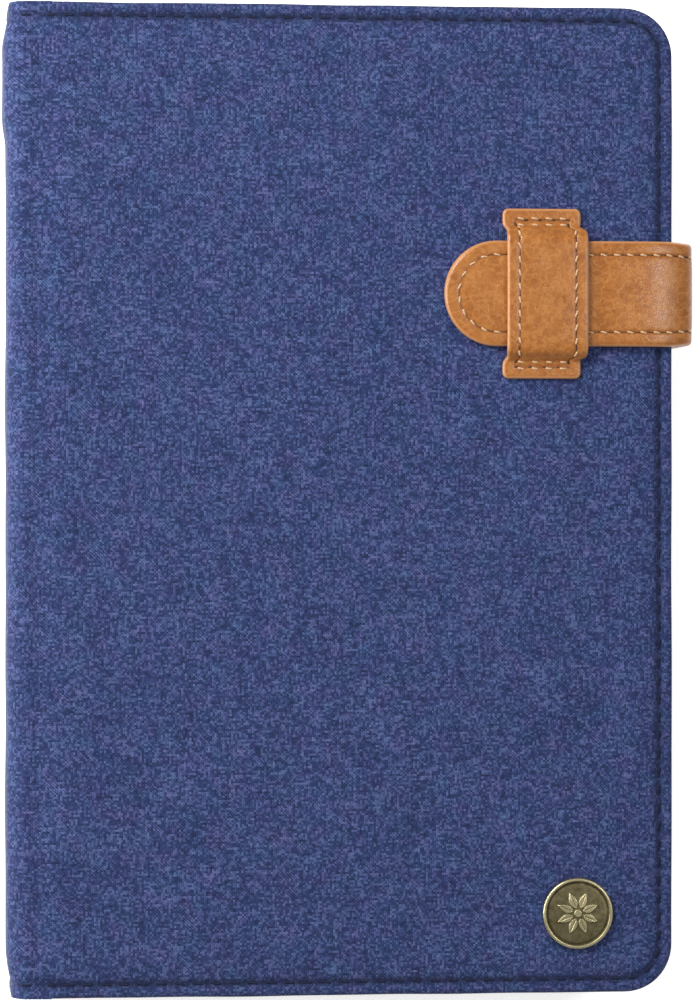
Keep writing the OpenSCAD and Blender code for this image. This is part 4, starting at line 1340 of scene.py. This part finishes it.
class CASE_OT_keeper_loop(bpy.types.Operator):
    """Make the keeper loop across the strap, sewn down at both ends"""

    bl_idname = "case.keeper_loop"
    bl_label = "Keeper loop"

    def execute(self, context):
        leather = sizes("leather")
        low, high = node_box("keeper_loop")
        middle = (low + high) / 2
        half_l, half_w = (high[1] - low[1]) / 2, (high[0] - low[0]) / 2
        thick = 1.3
        base_z, crown_z = CASE_T + 0.25 + thick / 2, high[2] - thick / 2 + 0.1
        shape = [(half_l, base_z - 0.05), (half_l - 3.0, base_z - 0.1), (half_l - 4.3, base_z + 0.15),
                 (half_l - 5.1, mix(base_z, crown_z, 0.45)), (half_l - 6.0, crown_z - 0.35),
                 (half_l - 7.4, crown_z), (half_l - 12, crown_z + 0.12), (0.0, crown_z + 0.16)]
        shape = np.array(shape + [(-a, b) for a, b in shape[-2::-1]])
        for _ in range(3):
            cut = [shape[0]]
            for a, b in zip(shape[:-1], shape[1:]):
                cut += [mix(a, b, 0.25), mix(a, b, 0.75)]
            shape = np.array(cut + [shape[-1]])
        at = np.concatenate([[0], np.cumsum(np.linalg.norm(np.diff(shape, axis=0), axis=1))])
        tight = np.array([0, 0.02, 0.08, 0.2, 0.4, 0.7, 1.0, 1.4])
        even = np.concatenate([tight, np.linspace(1.8, at[-1] - 1.8, 90), (at[-1] - tight)[::-1]])
        run = np.column_stack([np.interp(even, at, shape[:, k]) for k in range(2)])
        from_end = np.minimum(even, at[-1] - even)
        foot = 1 - smooth(3.6, 5.6, from_end)
        narrow = 0.35 * np.exp(-(((from_end - 4.6) / 0.9) ** 2))
        corner_r = 1.3
        inside = np.clip(corner_r - from_end, 0, None)
        rounding = corner_r - np.sqrt(np.clip(corner_r**2 - inside**2, 0, None))
        width = half_w + 0.15 - 0.3 * foot - narrow - rounding
        shift = 0.35 - 1.05 * foot
        centre = np.column_stack([middle[0] + shift, middle[1] + run[:, 0], run[:, 1]])
        step = np.gradient(run, axis=0)
        step /= np.linalg.norm(step, axis=1)[:, None]
        normal = np.column_stack([np.zeros(len(run)), step[:, 1], -step[:, 0]])
        normal *= np.sign(normal[len(run) // 2, 2])
        sideways = np.array([1.0, 0.0, 0.0])
        parts = Parts()
        # Painted shade: crease darkens the face where the loop bends up from its sewn ends.
        crease = 0.45 * np.exp(-(((from_end - 4.4) / 0.45) ** 2))
        crease += 0.25 * np.exp(-(((from_end - 6.3) / 0.5) ** 2))
        leather_band(
            parts, centre, normal, sideways, width, thick, leather.loop_inset, from_end, 60.0, 0.1, crease
        )
        piece = parts.piece("keeper_loop_leather", [finish_of("leather")], "front_cover")
        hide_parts("keeper_loop")
        rise = face_height(leather.loop_inset, thick, leather.loop_inset, 0.1)
        seam = Parts()
        body = (from_end > 4.9)
        for sign in (-1, 1):
            reach = (width - leather.loop_inset) * sign
            path = (centre + sideways * reach[:, None] + normal * rise)[body]
            stitches(seam, path, normal[body], leather.stitch_pitch, 1.75, 0.23, 0.16,
                     slant=0.22 * sign, holes=0.42, seed=13)
        for sign in (-1, 1):
            for inset in (2.0, 3.7):
                k = int(np.argmin(np.abs(even - (inset if sign > 0 else at[-1] - inset))))
                span = np.linspace(-half_w + 2.6, half_w - 2.6, 30)
                path = centre[k] + sideways * span[:, None] + normal[k] * (rise + 0.08)
                stitches(seam, path, np.tile(normal[k], (len(path), 1)), leather.stitch_pitch, 1.75, 0.23,
                         0.16, slant=0.15, holes=0.46, seed=17)
        thread = seam.piece(
            "keeper_loop_thread", [finish_of("cream_thread"), finish_of("hole_shade")], "front_cover"
        )
        return {"FINISHED"}


# ---------- Badge ----------


class CASE_OT_badge(bpy.types.Operator):
    """Make the brass badge: a rolled rim round a dish with a raised rosette"""

    bl_idname = "case.badge"
    bl_label = "Badge"

    def execute(self, context):
        badge = sizes("badge")
        low, high = node_box("badge_cap")
        cx, cy = (low[0] + high[0]) / 2, (low[1] + high[1]) / 2
        radius = (high[0] - low[0]) / 2
        base = CASE_T + 0.05
        turn = np.linspace(0, 2 * math.pi, 240, endpoint=False)
        rim_half = 0.48
        roll_base = 1.35
        rim_mid = radius - rim_half
        field = rim_mid - rim_half
        radii = np.concatenate([np.linspace(0.02, field - 0.1, 96), np.linspace(field, radius, 26)])
        rows, rubbed = [], []
        for r in radii:
            dish = 1.36 + 0.34 * (1 - (r / field) ** 2) if r < field else 1.36
            roll = roll_base + 0.52 * math.sqrt(max(0.0, 1 - ((r - rim_mid) / rim_half) ** 2))
            level = dish - 0.09 * math.exp(-(((r - field) / 0.35) ** 2)) if r < field + 0.03 else roll
            petal = self.rosette(r, turn, badge.petals)
            height = level + badge.relief * petal
            flat_ring = np.column_stack([cx + r * np.cos(turn), cy + r * np.sin(turn), 0 * turn])
            rows.append(flat_ring + np.column_stack([0 * turn, 0 * turn, base + height]))
            rim_bright = float(smooth(rim_mid - 0.4, rim_mid, r))
            in_corner = field - 0.35 < r < field + 0.1
            rubbed.append(np.clip(0.27 + 0.45 * petal + 0.50 * rim_bright - 0.08 * in_corner, 0, 1))
        skirt = ((0.25, radius + 0.02), (0.9, radius - 0.05), (roll_base, radius - 0.4),
                 (roll_base, radius - 1.5))
        for drop, r in skirt:
            level = base + roll_base - drop + 0 * turn
            rows.append(np.column_stack([cx + r * np.cos(turn), cy + r * np.sin(turn), level]))
            rubbed.append(np.full(len(turn), 0.12))
        count = len(turn)
        faces = band_faces(len(rows), count, close=True)
        faces += [tuple(range(count)), tuple(range((len(rows) - 1) * count, len(rows) * count))]
        piece = make_piece(
            "badge_cap_brass", np.concatenate(rows), faces, [finish_of("brass")], "front_cover",
            {"rubbed": np.concatenate(rubbed)},
        )
        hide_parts("badge_cap")
        return {"FINISHED"}

    def rosette(self, r, turn, petals):
        """1 on the petals and the boss, 0 on the dish."""
        share = (turn / (2 * math.pi) * petals) % 1 - 0.5
        side = np.abs(share) * 2 * math.pi / petals * r
        inner, outer = 1.15, 4.9
        along = (r - inner) / (outer - inner)
        width = 0.95 * math.sin(math.pi * min(max(along, 0), 1) ** 0.8) if 0 < along < 1 else 0.0
        leaf = 1 - smooth(width - 0.16, width + 0.02, side) if width > 0 else np.zeros(len(turn))
        vein = 0.55 * (1 - smooth(0.04, 0.14, side)) * (1 if 0.12 < along < 0.8 else 0)
        boss = float(1 - smooth(0.75, 0.95, r))
        return np.clip(leaf - vein, 0, 1) + boss


# ---------- Keyboard ----------


def rounded_cap(parts, low, high, base_z, top_z, dish):
    """A key: straight skirt, round shoulders and a shallow dished face towards top_z."""
    way = 1 if top_z > base_z else -1
    middle = (low + high) / 2
    box = (low[0] - middle[0], high[0] - middle[0], (high[1] - low[1]) / 2)
    counts = (6, 4, 4)
    r = 1.4
    tall = abs(top_z - base_z)
    rings = []
    share = min(1.0, tall / 1.2)
    for inset, drop in ((0.05, 0.75), (0.1, 0.42), (0.24, 0.16), (0.5, 0.03), (0.9, 0.0), (1.6, -0.02)):
        xy = ring(box, (r, r), inset, counts)
        rings.append(np.column_stack([xy, np.full(len(xy), drop * share)]))
    foot = ring(box, (r, r), 0.0, counts)
    rings.insert(0, np.column_stack([foot, np.full(len(foot), tall)]))
    spot, lid_faces = lid(box, 1.6, counts)
    reach = np.clip(1 - (spot[:, 0] / box[1]) ** 2, 0, 1)
    bowl = dish * reach
    shapes = [(np.concatenate(rings), band_faces(len(rings), len(rings[0]), close=True))]
    shapes.append((np.column_stack([spot, -0.02 * share + bowl]), lid_faces))
    under, under_faces = lid(box, r, counts)
    shapes.append((np.column_stack([under, np.full(len(under), tall)]), under_faces))
    xy = ring(box, (r, r), r, counts)
    base_ring = np.column_stack([np.concatenate([ring(box, (r, r), 0.0, counts), xy]),
                                 np.full(2 * len(xy), tall)])
    shapes.append((base_ring, band_faces(2, len(xy), close=True)))
    for points, faces in shapes:
        placed = np.column_stack([points[:, :2] + middle[:2], top_z - way * points[:, 2]])
        parts.add(placed, faces)


def loose_boxes(node):
    """Boxes of the separate solids of a node, in millimetres."""
    work = bmesh.new()
    work.from_mesh(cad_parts[node].data)
    bmesh.ops.remove_doubles(work, verts=work.verts, dist=1e-6)
    seen, found = set(), []
    for vertex in work.verts:
        if vertex.index in seen:
            continue
        group, queue = [], [vertex]
        seen.add(vertex.index)
        while queue:
            v = queue.pop()
            group.append(v.co)
            for e in v.link_edges:
                other = e.other_vert(v)
                if other.index not in seen:
                    seen.add(other.index)
                    queue.append(other)
        points = np.array(group) / MM
        found.append((points.min(0), points.max(0)))
    work.free()
    return sorted(found, key=lambda b: (b[0][1], b[0][0]))


class CASE_OT_keyboard(bpy.types.Operator):
    """Make the keys and give the keyboard's casings and inner parts their finishes"""

    bl_idname = "case.keyboard"
    bl_label = "Keyboard"

    def execute(self, context):
        rows = {f"keys_row_{k}": f"key_row_{k}" for k in range(1, 7)}
        rows["space_bar"] = "space_key"
        for node, body in rows.items():
            parts = Parts()
            for low, high in loose_boxes(node):
                skirt = 0.75
                cap_low, cap_high = low + (skirt, skirt, 0), high - (skirt, skirt, 0)
                rounded_cap(parts, cap_low, cap_high, high[2] - 0.6, low[2], 0.16)
                wing_low, wing_high = low + (0.02, 0.02, 0), high - (0.02, 0.02, 0)
                rounded_cap(parts, wing_low, wing_high, high[2], high[2] - 0.6, 0.0)
            piece = parts.piece(node + "_caps", [finish_of("key_plastic")], body)
            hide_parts(node)
        self.domes(rows)
        dress("deck_plastic", "keyboard_top_case")
        dress("case_plastic", "keyboard_bottom_case")
        dress("key_plastic", "power_switch", "connect_button")
        dress("steel", "keyboard_screws", "charging_port")
        dress("rubber", "rest_bumpers")
        dress("film", "key_membrane", "keyboard_tape")
        dress("circuit", "control_board")
        dress("foil", "battery")
        dress("lens", "status_leds")
        return {"FINISHED"}

    def domes(self, rows):
        """The rubber mat, and each row's domes."""
        low, high = node_box("dome_mat")
        sheet_t, round_r, centre = 0.3, 1.0, (low + high) / 2
        base = high[2] - sheet_t
        tall = base - low[2]
        box = (low[0] - centre[0], high[0] - centre[0], (high[1] - low[1]) / 2)
        counts = (20, 12, 4)
        parts = Parts()
        rings = []
        for inset, z in ((round_r, base), (0.0, base), (0.0, high[2]), (round_r, high[2])):
            xy = ring(box, (round_r, round_r), inset, counts)
            rings.append(np.column_stack([xy + centre[:2], np.full(len(xy), z)]))
        parts.add(np.concatenate(rings), band_faces(len(rings), len(rings[0]), close=True))
        for z in (base, high[2]):
            spot, faces = lid(box, round_r, counts)
            parts.add(np.column_stack([spot + centre[:2], np.full(len(spot), z)]), faces)
        sheet = parts.piece("dome_sheet", [finish_of("rubber")], "front_cover")
        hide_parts("dome_mat")
        profile = np.array([(0.05, 0.0), (1.3, 0.0), (1.7, 0.12), (1.85, 0.35), (2.2, 0.6 * tall),
                            (2.7, 0.9 * tall), (3.0, tall), (0.05, tall)])
        turn = np.linspace(0, 2 * math.pi, 28, endpoint=False)
        disc = np.column_stack([np.cos(turn), np.sin(turn)])
        for node, body in rows.items():
            parts = Parts()
            for key_low, key_high in loose_boxes(node):
                spot = (key_low + key_high)[:2] / 2
                rows_of = [np.column_stack([spot + disc * r, np.full(len(turn), low[2] + z)])
                           for r, z in profile]
                count = len(turn)
                faces = band_faces(len(rows_of), count, close=True)
                last = (len(rows_of) - 1) * count
                faces += [tuple(range(count)), tuple(range(last, last + count))]
                parts.add(np.concatenate(rows_of), faces)
            piece = parts.piece(node + "_domes", [finish_of("rubber")], "front_cover")
            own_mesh(piece)


# ---------- Tablet holder ----------


def coil_spring(name, node):
    """Wound tension spring in the place of its plain solid."""
    low, high = node_box(node)
    cx = (low[0] + high[0]) / 2
    r, wire, pitch, sides = 0.72, 0.17, 0.5, 6
    loop_r, loop_rise, loop_in, coil_in = 1.28, 0.5, 1.45, 3.4
    cz = low[2] + 0.9
    y0, y1 = low[1] + coil_in, high[1] - coil_in
    turns = int((y1 - y0) / pitch)
    t = np.linspace(0, 1, turns * 12)
    a = 2 * math.pi * turns * t
    line = np.column_stack([cx + r * np.cos(a), mix(y0, y1, t), cz + r * np.sin(a)])
    ends = []
    for y, sign in ((low[1] + loop_in, -1), (high[1] - loop_in, 1)):
        b = np.linspace(-math.pi / 2, 1.35 * math.pi, 22) * sign
        x, z = cx + loop_r * np.cos(b), np.full(len(b), cz + loop_rise)
        ends.append(np.column_stack([x, y + loop_r * np.sin(b), z]))
    line = np.concatenate([ends[0][::-1], line, ends[1]])
    step = np.gradient(line, axis=0)
    step /= np.linalg.norm(step, axis=1)[:, None]
    side = np.cross(step, np.array([0.15, 0.2, 1.0]))
    side /= np.linalg.norm(side, axis=1)[:, None]
    up = np.cross(side, step)
    turn = np.linspace(0, 2 * math.pi, sides, endpoint=False)
    around = side[:, None] * np.cos(turn)[None, :, None] + up[:, None] * np.sin(turn)[None, :, None]
    rows = line[:, None] + wire * around
    count = len(line)
    faces = band_faces(count, sides, close=True)
    faces += [tuple(range(sides)), tuple(range((count - 1) * sides, count * sides))]
    piece = make_piece(name, rows.reshape(-1, 3), faces, [finish_of("steel")])
    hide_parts(node)
    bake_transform(piece)


class CASE_OT_holder(bpy.types.Operator):
    """Wind the jaw's springs and give the tablet holder its finishes"""

    bl_idname = "case.holder"
    bl_label = "Tablet holder"

    def execute(self, context):
        coil_spring("jaw_spring_left_coil", "jaw_spring_left")
        coil_spring("jaw_spring_right_coil", "jaw_spring_right")
        dress("case_plastic", "tray_base", "sliding_jaw")
        dress("rubber", "tray_pads", "jaw_pads")
        dress("steel", "tray_rivets", "catch_plates", "kickstand_magnets", "badge_post", "badge_washer")
        return {"FINISHED"}


class CASE_OT_core(bpy.types.Operator):
    """Make the foam of the front cover and finish the boards"""

    bl_idname = "case.core"
    bl_label = "Foam and boards"

    def execute(self, context):
        box = (PAD_LOW[0], PAD_HIGH[0], PAD_HIGH[1])
        radii = (1.0, CORNER_R - 3.6)
        counts = (60, 40, 8)
        parts = Parts()
        tall = PAD_HIGH[2] - PAD_LOW[2]
        rings = []
        lid_inset, low_z, high_z = 8.0, 0.02, tall - 0.03
        section = ((lid_inset, high_z), (1.4, high_z), (0.7, tall - 0.06), (0.2, tall - 0.3),
                   (0.0, tall - 0.6), (0.0, low_z), (lid_inset, low_z))
        for inset, z in section:
            xy = ring(box, radii, inset, counts)
            rings.append(np.column_stack([xy, np.full(len(xy), PAD_LOW[2] + z)]))
        verts = np.concatenate(rings)
        parts.add(verts, band_faces(len(rings), len(rings[0]), close=True))
        for z in (high_z, low_z):
            spot, faces = lid(box, lid_inset, counts)
            parts.add(np.column_stack([spot, np.full(len(spot), PAD_LOW[2] + z)]), faces)
        piece = parts.piece("front_cover_foam", [finish_of("foam")], "front_cover")
        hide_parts("front_padding")
        dress("fibre_board", "front_board", "back_board", "kickstand_board")
        return {"FINISHED"}


# ---------- Stage ----------


class CASE_OT_stage(bpy.types.Operator):
    """Set the pale floor, the soft lights and the camera"""

    bl_idname = "case.stage"
    bl_label = "Stage"

    def execute(self, context):
        stage = sizes("stage")
        scene = context.scene
        scene.view_settings.view_transform = "Standard"
        material, tree, shader = base_material("Pale floor", 0.9)
        tint = ramp(tree, noise(tree, place_of(tree), 0.01, 2.0), [(0.3, (0.93,) * 3), (0.7, (0.95,) * 3)])
        tree.links.new(tint, shader.inputs["Base Color"])
        shader.inputs["Emission Color"].default_value = (1, 1, 1, 1)
        shader.inputs["Emission Strength"].default_value = 0.54
        clear = tree.nodes.new("ShaderNodeBsdfTransparent")
        side = tree.nodes.new("ShaderNodeNewGeometry")
        blend = tree.nodes.new("ShaderNodeMixShader")
        tree.links.new(side.outputs["Backfacing"], blend.inputs[0])
        tree.links.new(shader.outputs[0], blend.inputs[1])
        tree.links.new(clear.outputs[0], blend.inputs[2])
        tree.links.new(blend.outputs[0], tree.nodes["Material Output"].inputs["Surface"])
        mesh = bpy.data.meshes.new("floor")
        size = 3.0
        corners = [(-size, -size, 0), (size, -size, 0), (size, size, 0), (-size, size, 0)]
        mesh.from_pydata(corners, [], [(0, 1, 2, 3)])
        mesh.materials.append(material)
        floor = bpy.data.objects.new("floor", mesh)
        floor.location.z = -0.0006
        scene.collection.objects.link(floor)
        world = bpy.data.worlds.new("Studio")
        world.use_nodes = True
        world.node_tree.nodes["Background"].inputs[0].default_value = (1.0, 1.0, 1.0, 1)
        world.node_tree.nodes["Background"].inputs[1].default_value = 0.46
        scene.world = world
        self.softbox("Key light", (-0.36, 0.42, 0.50), 0.26, 5.0)
        self.softbox("Sheen light", (0.50, 0.12, 0.82), 0.13, 1.9)
        self.softbox("Spine light", (-0.70, 0.05, 0.28), 0.35, 4.4)
        camera_data = bpy.data.cameras.new("Camera")
        camera_data.sensor_width = 36
        camera_data.lens = camera_data.sensor_width * stage.distance / stage.field
        camera_data.clip_end = 20
        camera = bpy.data.objects.new("Camera", camera_data)
        target = Vector((0.9, 0.0, CASE_T)) * MM
        back = Vector((-math.sin(stage.lean), 0, math.cos(stage.lean)))
        camera.location = target + back * stage.distance
        camera.rotation_mode = "QUATERNION"
        top = Vector((0, 1, 0))
        camera.rotation_quaternion = Matrix((top.cross(back), top, back)).transposed().to_quaternion()
        scene.collection.objects.link(camera)
        scene.camera = camera
        return {"FINISHED"}

    def softbox(self, name, place, size, power):
        light = bpy.data.lights.new(name, "AREA")
        light.size = size
        light.energy = power
        lamp = bpy.data.objects.new(name, light)
        lamp.location = place
        lamp.rotation_mode = "QUATERNION"
        lamp.rotation_quaternion = (-Vector(place)).to_track_quat("-Z", "Y")
        bpy.context.scene.collection.objects.link(lamp)


GROUPS = {
    "cover": CoverSizes,
    "leather": LeatherSizes,
    "badge": BadgeSizes,
    "colours": CaseColours,
    "stage": StageSizes,
}
OPERATORS = (
    CASE_OT_covers,
    CASE_OT_spine,
    CASE_OT_kickstand,
    CASE_OT_strap,
    CASE_OT_keeper_loop,
    CASE_OT_badge,
    CASE_OT_keyboard,
    CASE_OT_holder,
    CASE_OT_core,
    CASE_OT_stage,
)


class CASE_PT_panel(bpy.types.Panel):
    """Sizes, colours and steps of the tablet keyboard case"""

    bl_label = "Tablet keyboard case"
    bl_idname = "CASE_PT_panel"
    bl_space_type = "VIEW_3D"
    bl_region_type = "UI"
    bl_category = "Case"

    def draw(self, context):
        for name, group in GROUPS.items():
            box = self.layout.box()
            for label in group.__annotations__:
                box.prop(sizes(name), label)
        for operator in OPERATORS:
            self.layout.operator(operator.bl_idname)


def register():
    for group in (*GROUPS.values(), *OPERATORS, CASE_PT_panel):
        bpy.utils.register_class(group)
    for name, group in GROUPS.items():
        setattr(bpy.types.Scene, "case_" + name, bpy.props.PointerProperty(type=group))


def unregister():
    for name in GROUPS:
        delattr(bpy.types.Scene, "case_" + name)
    for group in (CASE_PT_panel, *reversed(OPERATORS), *reversed(tuple(GROUPS.values()))):
        bpy.utils.unregister_class(group)


def main():
    register()
    for operator in OPERATORS:
        step = operator.bl_idname.split(".")[1]
        getattr(bpy.ops.case, step)()
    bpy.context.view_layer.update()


if __name__ == "__main__":
    main()
